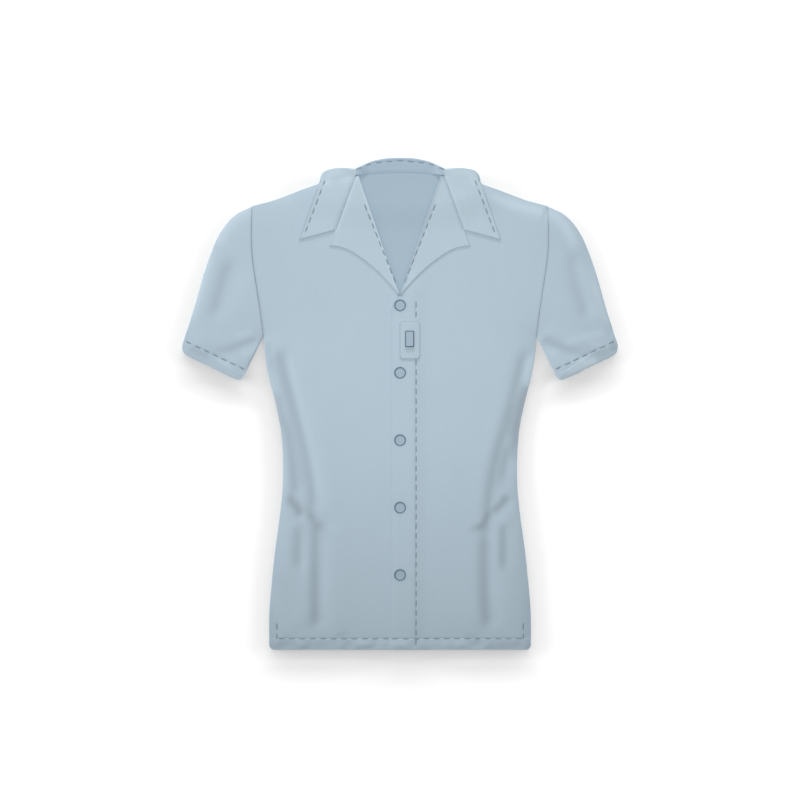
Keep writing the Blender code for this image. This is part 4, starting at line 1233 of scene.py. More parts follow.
def make_front(name, side):
    """One front panel."""
    x, height, out = front_places(side, 0.0027)
    bottom = front_top(side, x, height) - CLOTH
    top = bottom + CLOTH - dip(FRONT_BARS[side], x, height)
    top += HEM_FOLD * (1 - smooth((height - HEM_LINE + HEM_FOLD_START) / HEM_FOLD_FADE))
    # tone gathers painted shade and highlights: creases, edge lines, strokes, the armhole seam and stitching
    _, tone = crease_shape(x, height)
    if side > 0:
        below_break = 1 - smooth((height - PRESSED_TOP) / PRESSED_FADE)
        top -= PRESSED * (1 - smooth((out + OVERLAP) / PRESSED_REACH)) * below_break
        top += FACING_STEP * (1 - smooth((out - FACING_EDGE) / FACING_FADE)) * below_break
        from_edge = out - out[:, :1]
        uncovered = 1 - smooth((height - BREAK_HEIGHT + EDGE_LINES_FADE / 2) / EDGE_LINES_FADE)
        for away, reach, strength in EDGE_LINES:
            tone += strength * bell(from_edge - away, reach) * uncovered
    armhole = seam_sink(mirrored(ARMHOLE, side), x, height, ARMHOLE_REACH)
    tone += strokes(SHADES, x, height) + ARMHOLE_TONE * armhole
    return shell(
        name,
        place(x, height, top).reshape(-1, 3),
        place(x, height, bottom).reshape(-1, 3),
        grid_quads(*x.shape, flip=side < 0),
        shirt_finish,
        crease=tone + stitch_tone(FRONT_BARS[side], x, height),
    )


right_front = make_front("right_front_panel", -1)
left_front = make_front("left_front_panel", 1)

# %% [markdown]
# ## Sleeves
#
# A sleeve laid flat is a tube pressed together, folded along its upper edge and along the underarm, and
# open at the armhole and the cuff. Two flat panels could stand for it, but their edges would gape, where
# the real folds are round. So it is made of rings: each goes once round the tube, over the top layer and
# back under it.

# %% Sleeves
BEND_ANGLES = np.radians([18.0, 40.0, 65.0])
SLEEVE_TOP_COLUMNS, SLEEVE_UNDER_COLUMNS = 56, 26
SLEEVE_END_STEPS = np.array([0.0, 0.0004, 0.0014, 0.0030, 0.0060])  # shares of its length near an open end
SLEEVE_STEPS = np.concatenate(
    [
        SLEEVE_END_STEPS,
        np.linspace(0.012, 0.87, 52),
        np.linspace(0.877, 0.994, 22),
        1 - SLEEVE_END_STEPS[3::-1],
    ]
)
CUFF_FOLD_START, CUFF_FOLD_FADE = 0.90, 0.008  # as shares of the sleeve's length


def loft(top, bottom, start, end, u, v):
    """A point sheet between four edges: start and end at u 0 and 1, top and bottom at v 0 and 1."""
    across = (1 - v)[None, :, None] * top[:, None] + v[None, :, None] * bottom[:, None]
    lengthwise = (1 - u)[:, None, None] * start[None] + u[:, None, None] * end[None]
    corners = (
        ((1 - u)[:, None] * (1 - v)[None])[..., None] * start[0]
        + ((1 - u)[:, None] * v[None])[..., None] * start[-1]
        + (u[:, None] * (1 - v)[None])[..., None] * end[0]
        + (u[:, None] * v[None])[..., None] * end[-1]
    )
    return across + lengthwise - corners


def sleeve_places(u, v):
    """Places on the flat sleeve: u from armhole to cuff, v from its upper fold to its underarm."""
    heights = np.linspace(SHOULDER_TIP_HEIGHT, ARMPIT_HEIGHT, 40)
    armhole = np.stack([side_half_width(heights) + GAP, heights], axis=1)
    cuff = curve(SLEEVE_CUFF, v)
    return loft(curve(SLEEVE_TOP, u), curve(SLEEVE_UNDERARM, u), along(armhole, v), cuff, u, v)


def ring_skin(line, side, start, bend, radius, over, over_z, under, under_z):
    """One skin of a ring: round the upper fold, over the top, round the underarm and back under it.

    Each bend starts a little inside the line's end, and turns round a middle at the height of the radius.
    """
    length = np.linalg.norm(np.diff(line, axis=0), axis=1).sum()
    rises, slides = np.sin(BEND_ANGLES), start + bend * (1 - np.cos(BEND_ANGLES))
    up, down = radius + bend * rises, radius - bend * rises
    there = [[start], slides, over, (length - slides)[::-1]]
    back_again = [[length - start], length - slides, under, slides[::-1]]
    flat = along(line, np.clip(np.concatenate(there + back_again) / length, 0.0, 1.0))
    z = np.concatenate([[radius], up, over_z, up[::-1], [radius], down, under_z, down[::-1]])
    return place(side * flat[:, 0], flat[:, 1], z)


def sleeve_ring(side, line, cuff_share):
    """Outer and inner points of one ring, with the tone of each."""
    radius = CLOTH + GAP / 2
    length = np.linalg.norm(np.diff(line, axis=0), axis=1).sum()
    over = np.linspace(radius, length - radius, SLEEVE_TOP_COLUMNS)
    under = np.linspace(length - radius, radius, SLEEVE_UNDER_COLUMNS)
    spots = along(line, over / length)
    out, height = spots[:, 0], spots[:, 1]
    level = front_lift(side * out, height)
    top = level + CLOTH - dip([CUFF_BARS], out, height) + HEM_FOLD * cuff_share
    # painted shade and highlights of the top layer: creases, stitching, strokes and the armhole seam
    _, painted_shade_and_light = crease_shape(side * out, height)
    painted_shade_and_light += stitch_tone([CUFF_BARS], out, height) + strokes(SHADES, side * out, height)
    painted_shade_and_light += ARMHOLE_TONE * seam_sink(ARMHOLE, out, height, ARMHOLE_REACH)
    outer = ring_skin(line, side, 0.0, radius, radius, over, top, under, 0 * under)
    inner = ring_skin(line, side, CLOTH, radius - CLOTH, radius, over, level, under, 0 * under + CLOTH)
    tones = np.zeros(len(outer))
    tones[1 + len(BEND_ANGLES) : 1 + len(BEND_ANGLES) + len(over)] = painted_shade_and_light
    return outer, inner, tones


def make_sleeve(name, side):
    """One sleeve."""
    lines = sleeve_places(SLEEVE_STEPS, np.linspace(0, 1, 121))
    cuff_shares = smooth((SLEEVE_STEPS - CUFF_FOLD_START) / CUFF_FOLD_FADE)
    rings = [sleeve_ring(side, line, share) for line, share in zip(lines, cuff_shares)]
    outer, inner, tones = (np.array(part) for part in zip(*rings))
    return shell(
        name,
        outer.reshape(-1, 3),
        inner.reshape(-1, 3),
        grid_quads(outer.shape[0], outer.shape[1], flip=side < 0, wrapped=True),
        shirt_finish,
        crease=tones,
        radius=CLOTH / 2,
    )


right_sleeve = make_sleeve("right_sleeve_tube", -1)
left_sleeve = make_sleeve("left_sleeve_tube", 1)

# %% [markdown]
# ## Lapels
#
# A lapel is the top of the front turned back on itself. It is lofted between the roll line and its outer
# edge, rib by rib, and each rib starts with the small round nose that holds the front's edge inside it.

# %% Lapels
PAINTED_EDGE_SHADE, PAINTED_EDGE_SHADE_REACH = 0.46, 0.0016  # painted shade along the turned edges
# the crown of the right lapel's roll gets a painted highlight, and that of the left one, which faces the
# lamp, painted shade
ROLL_HIGHLIGHT, ROLL_HIGHLIGHT_AT, ROLL_HIGHLIGHT_REACH = 0.62, 0.0028, 0.0022
ROLL_SHADE, ROLL_SHADE_AT, ROLL_SHADE_REACH = 0.70, 0.0006, 0.0022
ROLL_HIGHLIGHT_FULL = 0.03  # length of a rib from which its crown's painted highlight is full
# painted shade in the groove of the gorge seam, on each side
GORGE_TONE = {-1: 0.08, 1: 0.28}
GORGE_CLEAR = 0.004  # the painted edge shade ends this far from the gorge seam
NOSE_ANGLES = np.radians([8.0, 25.0, 45.0, 68.0, 90.0])
NOSE_SHARES = np.array([0.0, 0.03, 0.09, 0.19, 0.30, 0.45])
NOSE_REACH = 0.0023
LAPEL_FLAT_COLUMNS = 34
LAPEL_GROOVE_FADE = 0.002
LAPEL_EDGE_SHARE = 0.2  # the rounded edge takes at most this share of a rib
LAPEL_RIBS = (70, 14, 54)  # along the lower edge, the notch and the gorge
# shares of the roll line at the first rib, at the lapel's point and at the end of the notch
LAPEL_SHARES = (0.008, 0.44, 0.56)


def lapel_ribs():
    """Pairs of ends, on the roll line and on the lapel's outer edge, from the break to the neck."""
    lower = curve(LAPEL_LOWER_EDGE, np.linspace(0, 1, LAPEL_RIBS[0]))
    notch = along(np.array(LAPEL_NOTCH), np.linspace(0, 1, LAPEL_RIBS[1]))[1:]
    seam = np.array([GORGE_BOTTOM, GORGE_TOP]) - np.array([GAP, 0.0])
    gorge = along(seam, np.linspace(0, 1, LAPEL_RIBS[2]))
    start, corner, notch_end = LAPEL_SHARES
    share = np.concatenate(
        [
            np.linspace(start, corner, LAPEL_RIBS[0]),
            np.linspace(corner, notch_end, LAPEL_RIBS[1] + 1)[1:],
            np.linspace(notch_end, 1.0, LAPEL_RIBS[2])[1:],
        ]
    )
    heights = BREAK_HEIGHT + share * (ROLL_TOP[1] - BREAK_HEIGHT)
    return np.stack([roll_line(heights), heights], axis=1), np.concatenate([lower, notch, gorge])


def make_lapel(name, side):
    """One lapel."""
    roll, outer = lapel_ribs()
    nose = (CLOTH + GAP + LAPEL) / 2
    line = [mirrored(LAPEL_BARS, side)]
    rows_top, rows_under, tones = [], [], []
    for start, end in zip(roll, outer):
        length = np.linalg.norm(end - start)
        near = np.minimum(np.append(nose * (1 - np.cos(NOSE_ANGLES)), NOSE_REACH), NOSE_SHARES * length)
        edge = EDGE_STEPS * min(1.0, LAPEL_EDGE_SHARE * length / EDGE_STEPS[-1])
        flat = np.linspace(near[-1], length - edge[-1], LAPEL_FLAT_COLUMNS + 1)[1:]
        distances = np.concatenate([near, flat, length - edge[:-1][::-1]])
        spots = start + (end - start) * (distances / length)[:, None]
        x, height = side * spots[:, 0], spots[:, 1]
        on_front = front_top(side, x, height) + GAP
        inside_front = on_front - GAP - CLOTH
        top = on_front + LAPEL
        under = on_front.copy()
        middle = (inside_front[0] + top[0]) / 2
        half = (top[0] - inside_front[0]) / 2
        bends = len(NOSE_ANGLES) - 1
        top[:bends] = middle + half * np.sin(NOSE_ANGLES[:bends])
        under[:bends] = middle - half * np.sin(NOSE_ANGLES[:bends])
        under[bends] = inside_front[bends]
        flat_part = smooth((distances - near[-1]) / LAPEL_GROOVE_FADE)
        sunk = seam_sink(mirrored([GORGE_BOTTOM, GORGE_TOP], side), x, height)
        top -= (dip(line, x, height) + SEAM_DIP * sunk) * flat_part
        rows_top.append(place(x, height, top))
        rows_under.append(place(x, height, under))
        from_edge = 1.0 - seam_sink([GORGE_BOTTOM, GORGE_TOP], np.abs(x), height, GORGE_CLEAR)
        painted_edge_and_roll = PAINTED_EDGE_SHADE * bell(length - distances, PAINTED_EDGE_SHADE_REACH) * from_edge
        if side < 0:
            crown = bell(distances - ROLL_HIGHLIGHT_AT, ROLL_HIGHLIGHT_REACH)
            painted_edge_and_roll -= ROLL_HIGHLIGHT * crown * min(1.0, length / ROLL_HIGHLIGHT_FULL)
        else:
            painted_edge_and_roll += ROLL_SHADE * bell(distances - ROLL_SHADE_AT, ROLL_SHADE_REACH)
        tones.append(stitch_tone(line, x, height) + GORGE_TONE[side] * sunk + painted_edge_and_roll)
    top, under = np.array(rows_top), np.array(rows_under)
    columns = top.shape[1]
    return shell(
        name,
        top.reshape(-1, 3),
        under.reshape(-1, 3),
        grid_quads(*top.shape[:2], flip=side < 0),
        collar_finish,
        crease=np.array(tones),
        inner_inside=0.0,
        blunt=[i * columns for i in range(len(roll))],
        radius=LAPEL / 2,
    )


right_lapel = make_lapel("right_lapel_turned", -1)
left_lapel = make_lapel("left_lapel_turned", 1)

# %% [markdown]
# ## The collar's ribs
#
# The collar is one strip with its points on the chest. Round the neck it stands up a little, rolls over and
# falls behind the back. A bent grid could be pulled into that form, but ribs keep its seam and its edge
# exactly where the pattern has them. Each goes from the neck seam up to the roll and back under to the
# fall's edge, and those of the two points end at the collar's own edge instead.

# %% Collar ribs
LEAF_RIBS, BUMP_RIBS, ARC_RIBS = 52, 26, 44
COLLAR_FRONT_COLUMNS, COLLAR_FALL_COLUMNS = 30, 20
FRONT_EDGE_SHARE, FALL_EDGE_SHARE = 0.18, 0.3  # the crowded ends take at most these shares of a rib
LEAF_SEAM_SHARE = 0.97
NECK_INSET = 0.0015
SETTLE_SHARE, LEAST_FALL = 3, 4 * GAP  # in radii of the roll, and beyond one radius of it
BUMP_FALL_SHARE = 6 / 14  # how much of the fall's edge lies behind the collar's points
STAND_PARTS, STAND_START, STAND_RISE = 8, 0.3, 2.2  # in parts of half the neck, from its corner
NECK_SEAM_DIP = 0.0006
# painted shade in the groove of the gorge seam, on the collar
COLLAR_GORGE_TONE = 0.08
COLLAR_GROOVE_FADE = 0.004
WRONG_SIDE_FADE = 0.0020
ROLL_ANGLES = np.radians([70, 50, 32, 15, 0, -15, -32, -50, -70])
COLLAR_SHADES = [
    # painted highlights on the crown of each collar point where it turns over the shoulder
    Shade(
        [(-0.1140, 0.6909), (-0.1087, 0.7089), (-0.0960, 0.7172), (-0.0720, 0.7194)],
        (0.0075, 0.0085), -1.0, (0.2, 0.4),
    ),
    Shade([(-0.0930, 0.6954), (-0.0750, 0.7044), (-0.0600, 0.7014)], (0.0070, 0.0070), -0.45, (0.4, 0.4)),
    Shade(
        [(0.0645, 0.7164), (0.0870, 0.7164), (0.1065, 0.7104), (0.1155, 0.6924)],
        (0.0080, 0.0070), -0.75, (0.3, 0.2),
    ),
    Shade([(0.0720, 0.6894), (0.1050, 0.6789)], (0.0100, 0.0100), -0.24),
    # painted shade at the ends of the stand
    Shade([(0.0450, 0.7239), (0.0585, 0.7209)], (0.0055, 0.0060), 0.24),
    # and painted shade along the edge that faces the lamp
    Shade([(-0.1509, 0.6137), (-0.1356, 0.6587), (-0.1209, 0.6999)], (0.0014, 0.0014), 0.50, (0.05, 0.1)),
]


def rib_steps(reach):
    """Distances along the front of a rib, crowded at both ends."""
    near = EDGE_STEPS * min(1.0, FRONT_EDGE_SHARE * reach / EDGE_STEPS[-1])
    middle = np.linspace(near[-1], reach - near[-1], COLLAR_FRONT_COLUMNS)
    return np.concatenate([near[:-1], middle, reach - near[:-1][::-1]])


def crowded(count):
    """Shares from 0 to 1 that start close together."""
    return np.concatenate([[0.0, 0.002, 0.006, 0.012, 0.022], np.linspace(0.04, 1.0, count - 5)])


def collar_stations():
    """Ribs of half the collar: seam end, outer end, end of the fall (or None), and share of stand."""
    leaf_share = crowded(LEAF_RIBS)
    seam = along(np.array([GORGE_BOTTOM, GORGE_TOP]), leaf_share * LEAF_SEAM_SHARE)
    edge = along(np.array([LEAF_TIP, LEAF_CROSSING]), leaf_share)
    ribs = [(seam[i], edge[i], None, 0.0) for i in range(LEAF_RIBS - 1)]
    corner = np.array([seam[-1], GORGE_TOP, [NECK_HALF_WIDTH - NECK_INSET, NECK_HEIGHT]])
    bump_seam = along(corner, np.linspace(0, 1, BUMP_RIBS))
    bump = curve(LEAF_BUMP, np.linspace(0, 1, BUMP_RIBS))
    neck_x = np.linspace(NECK_HALF_WIDTH - NECK_INSET, 0.0, ARC_RIBS)
    neck = np.stack([neck_x, NECK_HEIGHT + NECK_SEAM_RISE * (1 - (neck_x / NECK_HALF_WIDTH) ** 2)], axis=1)
    arc = curve(ROLL_ARC, np.linspace(0, 1, ARC_RIBS))
    behind_bump = np.linspace(0, BUMP_FALL_SHARE, BUMP_RIBS)
    fall = curve(FALL_EDGE, np.concatenate([behind_bump, np.linspace(BUMP_FALL_SHARE, 1, ARC_RIBS)[1:]]))
    ribs += [(bump_seam[i], bump[i], fall[i], 0.0) for i in range(BUMP_RIBS)]
    for i in range(1, ARC_RIBS):
        stand = float(smooth((i / (ARC_RIBS - 1) * STAND_PARTS - STAND_START) / STAND_RISE))
        ribs.append((neck[i], arc[i], fall[BUMP_RIBS - 1 + i], stand))
    return ribs


def collar_rib(side, rib):
    """Outer and inner skin points of one rib, with the crease and inside shares of each."""
    seam, roll, fall, stand = rib
    length = np.linalg.norm(roll - seam)
    inward = (seam - roll) / length

    def base(spots):
        on_front = front_top(side, side * spots[:, 0], spots[:, 1]) + GAP
        return (1 - stand) * on_front + stand * (COLLAR + GAP)

    height_at_roll = float(base(roll[None])[0]) + COLLAR
    radius = height_at_roll / 2
    reach = length - radius if fall is not None else length
    distance = rib_steps(reach)
    spots = seam - inward * distance[:, None]
    settled = smooth((length - distance) / (SETTLE_SHARE * radius)) if fall is not None else 1.0
    level = settled * base(spots) + (1 - settled) * (height_at_roll - COLLAR)
    lines = [mirrored(LEAF_BARS, side), ARC_BARS]
    x = side * spots[:, 0]
    sunk = seam_sink(mirrored([GORGE_BOTTOM, GORGE_TOP], side), x, spots[:, 1])
    groove = dip(lines, x, spots[:, 1]) * smooth(distance / COLLAR_GROOVE_FADE) + SEAM_DIP * sunk
    groove += NECK_SEAM_DIP * stand * bell(distance, SEAM_REACH)
    # painted shade at the stitching, the gorge seam and the point's edge, with the painted strokes
    crease = stitch_tone(lines, x, spots[:, 1]) + COLLAR_GORGE_TONE * sunk
    crease += strokes(COLLAR_SHADES, x, spots[:, 1])
    if fall is None:
        crease += PAINTED_EDGE_SHADE * bell(length - distance, PAINTED_EDGE_SHADE_REACH)
    # the stand shows its wrong side, whose colour also holds painted shade
    wrong_side = np.full(len(distance), smooth((ROLL_ARC[0].out - roll[0]) / WRONG_SIDE_FADE))
    outer = np.column_stack([spots, level + COLLAR - groove])
    inner = np.column_stack([spots, level])
    if fall is None:
        return outer, inner, crease, wrong_side
    behind = (fall - roll) / np.linalg.norm(fall - roll)
    small = radius - COLLAR
    rises = np.sin(ROLL_ANGLES)
    slides = 1 - np.cos(ROLL_ANGLES)
    mixed = inward * ((1 + rises) / 2)[:, None] + behind * ((1 - rises) / 2)[:, None]
    mixed /= np.linalg.norm(mixed, axis=1)[:, None]
    outward, inset = (radius * slides)[:, None], (COLLAR + small * slides)[:, None]
    turn_outer = np.column_stack([roll + mixed * outward, radius + radius * rises])
    turn_inner = np.column_stack([roll + mixed * inset, radius + small * rises])
    behind_length = max(np.linalg.norm(fall - roll), radius + LEAST_FALL)
    steps = radius + rib_fall(behind_length - radius)
    spots = roll + behind * steps[:, None]
    outer = np.concatenate([outer, turn_outer, np.column_stack([spots, 0 * steps])])
    inner = np.concatenate([inner, turn_inner, np.column_stack([spots, 0 * steps + COLLAR])])
    more = len(rises) + len(steps)
    turned = np.concatenate([smooth(rises), np.zeros(len(steps))])
    return (
        outer,
        inner,
        np.concatenate([crease, np.zeros(more)]),
        np.concatenate([wrong_side, wrong_side[0] * turned]),
    )


def rib_fall(reach):
    """Distances along the fall, crowded at its edge."""
    near = EDGE_STEPS * min(1.0, FALL_EDGE_SHARE * reach / EDGE_STEPS[-1])
    return np.concatenate([np.linspace(0, reach - near[-1], COLLAR_FALL_COLUMNS), reach - near[:-1][::-1]])


print("ribs in half the collar:", len(collar_stations()))

# %% [markdown]
# ## Collar
#
# The ribs of one half are made again for the other side, whose front lies at another level, and all are
# joined into one skin from point to point. Where the fall starts, a long rib meets a short one. Only the
# points that both have are joined there, so the fall gets an end edge of its own.

# %% Collar


def make_collar(name):
    """The collar in one piece: point, roll round the neck, point, and the fall behind the back."""
    half = collar_stations()
    mirror = np.array([-1.0, 1.0, 1.0])
    ribs = [(a * mirror, b * mirror, c, d) for a, b, c, d in (collar_rib(-1, rib) for rib in half[:-1])]
    ribs += [collar_rib(1, rib) for rib in reversed(half)]
    starts = np.concatenate([[0], np.cumsum([len(rib[0]) for rib in ribs])])
    quads = []
    for i in range(len(ribs) - 1):
        a, b = int(starts[i]), int(starts[i + 1])
        for j in range(min(len(ribs[i][0]), len(ribs[i + 1][0])) - 1):
            quads.append((a + j, b + j, b + j + 1, a + j + 1))
    outer, inner, crease, wrong_side = (np.concatenate(part) for part in zip(*ribs))
    return shell(
        name,
        place(outer[:, 0], outer[:, 1], outer[:, 2]),
        place(inner[:, 0], inner[:, 1], inner[:, 2]),
        quads,
        collar_finish,
        crease=crease,
        outer_inside=wrong_side,
        inner_inside=0.0,
        blunt=[int(starts[i]) for i in range(LEAF_RIBS + BUMP_RIBS, len(ribs) - LEAF_RIBS - BUMP_RIBS)],
        radius=COLLAR / 2,
    )


collar = make_collar("collar_strip")

# %% [markdown]
# ## Tab
#
# The tab on the placket is a folded, pressed strip with round corners. It is made as the panels are, from
# rows that narrow at both ends, so that it follows the front's level under it.

# %% Tab
TAB_SIZE = (0.0308, 0.0570)
TAB_CENTRE = (0.01465, 0.4644)
TAB_CORNER = 0.0055
TAB_THICKNESS = 0.0015
# painted shade round the tab's rim, and on its left and its top edge
TAB_EDGE_TONE, TAB_LEFT_TONE, TAB_TOP_TONE = 0.42, 0.60, 0.30
TAB_EDGE_REACH, TAB_LIT_REACH = 0.0015, 0.0013


def rounded_rows(size, corner, count=10):
    """Offsets along a rounded rectangle and its half width at each, for a grid with round corners."""
    width, height = size
    near = corner * (1 - np.cos(np.linspace(0, np.pi / 2, count)))
    near[0] = 0.0
    rows = np.concatenate([near, np.linspace(corner, height - corner, 24)[1:-1], height - near[::-1]])
    short = np.clip(1 - np.minimum(rows, height - rows) / corner, 0.0, 1.0)
    return rows - height / 2, width / 2 - corner * (1 - np.sqrt(1 - short**2))


tab_finish = cloth_finish("folded_cotton", FOLDED_SEEN, PRESSED_WRONG_SIDE_SHADED_SEEN)
rows, half = rounded_rows(TAB_SIZE, TAB_CORNER)
share = np.sin(np.linspace(-np.pi / 2, np.pi / 2, 31))
x_tab = TAB_CENTRE[0] + half[:, None] * share[None]
height_tab = np.repeat((TAB_CENTRE[1] + rows)[:, None], len(share), axis=1)
bottom = front_top(1, x_tab, height_tab) + GAP
to_side = half[:, None] * (1.0 - np.abs(share[None]))
to_end = np.minimum(rows - rows[0], rows[-1] - rows)[:, None]
# the left and the top edge face the lamps, so they would shine: painted shade holds them back
left_edge = TAB_LEFT_TONE * bell(half[:, None] * (1.0 + share[None]), TAB_LIT_REACH)
top_edge = TAB_TOP_TONE * bell((rows[-1] - rows)[:, None], TAB_LIT_REACH)
# painted shade round the rim
rim_tone = TAB_EDGE_TONE * bell(np.minimum(to_side, to_end), TAB_EDGE_REACH)
tab = shell(
    "tab_strip",
    place(x_tab, height_tab, bottom + TAB_THICKNESS).reshape(-1, 3),
    place(x_tab, height_tab, bottom).reshape(-1, 3),
    grid_quads(*x_tab.shape),
    tab_finish,
    crease=rim_tone + np.maximum(left_edge, top_edge),
    inner_inside=0.0,
)

# %% [markdown]
# ## Buttons
#
# The buttons are moulded plastic dishes with a rim. A turned profile could be spun round with the Screw
# modifier. A loft of closed loops from the underside up does the same, and serves for the stud too. The
# plastic is satin, and the attribute "rim" darkens it round the edge, where the photograph shows a dark
# ring, with a soft step between the tones.

# %% Buttons
BUTTON_COUNT = 5
BUTTON_TOP_HEIGHT = 0.516
BUTTON_PITCH = 0.10084
BUTTON_RADIUS = 0.00885
BUTTON_SEEN, BUTTON_RIM_SEEN = (0.360, 0.476, 0.566), (0.142, 0.206, 0.264)
MOTTLES_PER_METRE, MOTTLE = 260.0, (0.96, 0.08)
SATIN = {"Roughness": 0.5, "Specular IOR Level": 0.22}


def plastic_finish(name, seen, rim_seen):
    """Satin plastic that is darker round its rim."""
    finish, tree, shader = new_finish(name)
    tint = mix_colour(tree, attribute(tree, "rim"), as_dyed(seen), as_dyed(rim_seen))
    mottle = ranged(tree, stretched_noise(tree, (MOTTLES_PER_METRE,) * 3), *MOTTLE)
    tree.links.new(shaded(tree, tint, mottle), shader.inputs["Base Color"])
    set_inputs(shader, SATIN)
    return finish


def lofted(name, loops, rims, finish):
    """A closed body through loops of points from the bottom up, each anticlockwise from above."""
    count = len(loops[0])
    faces = [tuple(reversed(range(count)))]
    for i in range(len(loops) - 1):
        for j in range(count):
            k = (j + 1) % count
            faces.append((i * count + j, i * count + k, (i + 1) * count + k, (i + 1) * count + j))
    faces.append(tuple((len(loops) - 1) * count + j for j in range(count)))
    mesh = bpy.data.meshes.new(name)
    mesh.from_pydata([tuple(v) for v in np.concatenate(loops)], [], faces)
    stored = mesh.attributes.new("rim", "FLOAT", "POINT")
    stored.data.foreach_set("value", np.repeat(rims, count).astype(np.float32))
    return link(name, mesh, finish, sharp=1.2)


def highest_front(centre, size):
    """The highest level of the front under a small rectangle."""
    shares = np.linspace(-0.5, 0.5, 9)
    x, height = np.meshgrid(centre[0] + size[0] * shares, centre[1] + size[1] * shares)
    return float(front_top(1, x, height).max())


# radius as a share of the button's, level above its underside, and share of the rim's tone
BUTTON_PROFILE = [
    (0.880, 0.00000, 1.0),
    (0.950, 0.00012, 1.0),
    (0.985, 0.00042, 1.0),
    (1.000, 0.00085, 1.0),
    (1.000, 0.00175, 1.0),
    (0.992, 0.00212, 1.0),
    (0.970, 0.00242, 1.0),
    (0.935, 0.00258, 1.0),
    (0.895, 0.00262, 1.0),
    (0.855, 0.00255, 1.0),
    (0.815, 0.00238, 0.85),
    (0.780, 0.00218, 0.50),
    (0.740, 0.00205, 0.10),
    (0.660, 0.00198, 0.0),
    (0.500, 0.00196, 0.0),
    (0.300, 0.00198, 0.0),
    (0.100, 0.00200, 0.0),
]
button_finish = plastic_finish("button_plastic", BUTTON_SEEN, BUTTON_RIM_SEEN)
turn = np.linspace(0, 2 * np.pi, 72, endpoint=False)
buttons = []
for number in range(1, BUTTON_COUNT + 1):
    middle = BUTTON_TOP_HEIGHT - (number - 1) * BUTTON_PITCH
    foot = highest_front((0.0, middle), (2 * BUTTON_RADIUS, 2 * BUTTON_RADIUS)) + GAP
    loops = []
    for share, level, _ in BUTTON_PROFILE:
        radius = share * BUTTON_RADIUS
        loops.append(place(radius * np.cos(turn), middle + radius * np.sin(turn), foot + level))
    rims = [rim for _, _, rim in BUTTON_PROFILE]
    buttons.append(lofted(f"button_dish_{number}", loops, rims, button_finish))
    shade_makers.objects.unlink(buttons[-1])
print("buttons:", len(buttons))

# %% [markdown]
# ## Stud
#
# The stud on the tab is a small upright block with round corners and the same dark rim. A bevelled cube
# would come close, but the loft gives its rim the same soft step as the buttons have.

# %% Stud
STUD_SIZE = (0.0138, 0.0245)
STUD_CENTRE = (0.0144, 0.4658)
STUD_CORNER = 0.0016
STUD_SEEN, STUD_RIM_SEEN = (0.364, 0.472, 0.572), (0.120, 0.174, 0.224)
STUD_LEAST_CORNER, STUD_CORNER_LOSS = 0.0004, 0.6  # the corners get tighter with the inset

# inset from the stud's outline, level above its underside, and share of the rim's tone
STUD_PROFILE = [
    (0.0004, 0.00000, 1.0),
    (0.0000, 0.00035, 1.0),
    (0.0000, 0.00210, 1.0),
    (0.0001, 0.00245, 1.0),
    (0.0004, 0.00275, 1.0),
    (0.0009, 0.00292, 1.0),
    (0.0014, 0.00300, 0.9),
    (0.0018, 0.00300, 0.2),
    (0.0022, 0.00298, 0.0),
    (0.0030, 0.00297, 0.0),
]
foot = highest_front(STUD_CENTRE, STUD_SIZE) + GAP + TAB_THICKNESS + GAP
loops = []
for inset, level, _ in STUD_PROFILE:
    size = (STUD_SIZE[0] - 2 * inset, STUD_SIZE[1] - 2 * inset)
    rows, half = rounded_rows(size, max(STUD_LEAST_CORNER, STUD_CORNER - STUD_CORNER_LOSS * inset), 6)
    loop = np.concatenate([np.stack([half, rows], axis=1), np.stack([-half, rows], axis=1)[::-1]])
    loops.append(place(loop[:, 0] + STUD_CENTRE[0], loop[:, 1] + STUD_CENTRE[1], foot + level))
stud_finish = plastic_finish("stud_plastic", STUD_SEEN, STUD_RIM_SEEN)
stud = lofted("stud_block", loops, [rim for _, _, rim in STUD_PROFILE], stud_finish)
print("stud:", STUD_SIZE)

# %% [markdown]
# ## Thread
#
# Topstitching is one thread that shows as a row of short bars. Each bar could be placed by hand, but a row
# is what Geometry Nodes does best: a curve is resampled at the pitch, a bar is put on every point and
# turned along the curve, and a seed makes the bars a little uneven. First comes the thread's finish:
# twisted plies, a little darker in between.

# %% Thread
BAR = (0.0088, 0.0019, 0.0006)  # length, width and thickness of a bar of thread
PLY_SCALE = 2.2  # of the wave, over places in bar widths
THREAD_SEEN, THREAD_DARK_SEEN = (0.265, 0.355, 0.420), (0.212, 0.284, 0.336)

thread_finish, tree, shader = new_finish("thread")
ply = tree.nodes.new("ShaderNodeTexWave")
ply.bands_direction = "DIAGONAL"
set_inputs(ply, {"Scale": PLY_SCALE})
where = tree.nodes.new("ShaderNodeAttribute")
where.attribute_name = "bar_place"
tree.links.new(where.outputs["Vector"], ply.inputs["Vector"])
tint = mix_colour(tree, ply.outputs["Fac"], as_dyed(THREAD_DARK_SEEN), as_dyed(THREAD_SEEN))
tree.links.new(tint, shader.inputs["Base Color"])
set_inputs(shader, {"Roughness": 0.7, "Specular IOR Level": 0.3})
print("finish:", thread_finish.name)

# %% [markdown]
# ## One bar of thread
#
# The node group takes lines on the cloth as its mesh, and has named inputs for the pitch, the seed and the
# thread's material. A small block is narrowed towards its ends and rounded across, and its ends dive into
# the cloth. Its place in bar widths is kept as an attribute, for the twist of the ply.

# %% One bar of thread
BAR_GRID = {"Vertices X": 13, "Vertices Y": 7, "Vertices Z": 3}
BAR_NARROWS, BAR_ROUNDS, BAR_DIVES = 0.22, 0.85, 0.30  # shares of its width and height lost at the ends
SMALLEST, LARGEST, MOST_TURN = (0.93, 0.92, 0.9), (1.05, 1.08, 1.1), 0.035  # how uneven the bars are


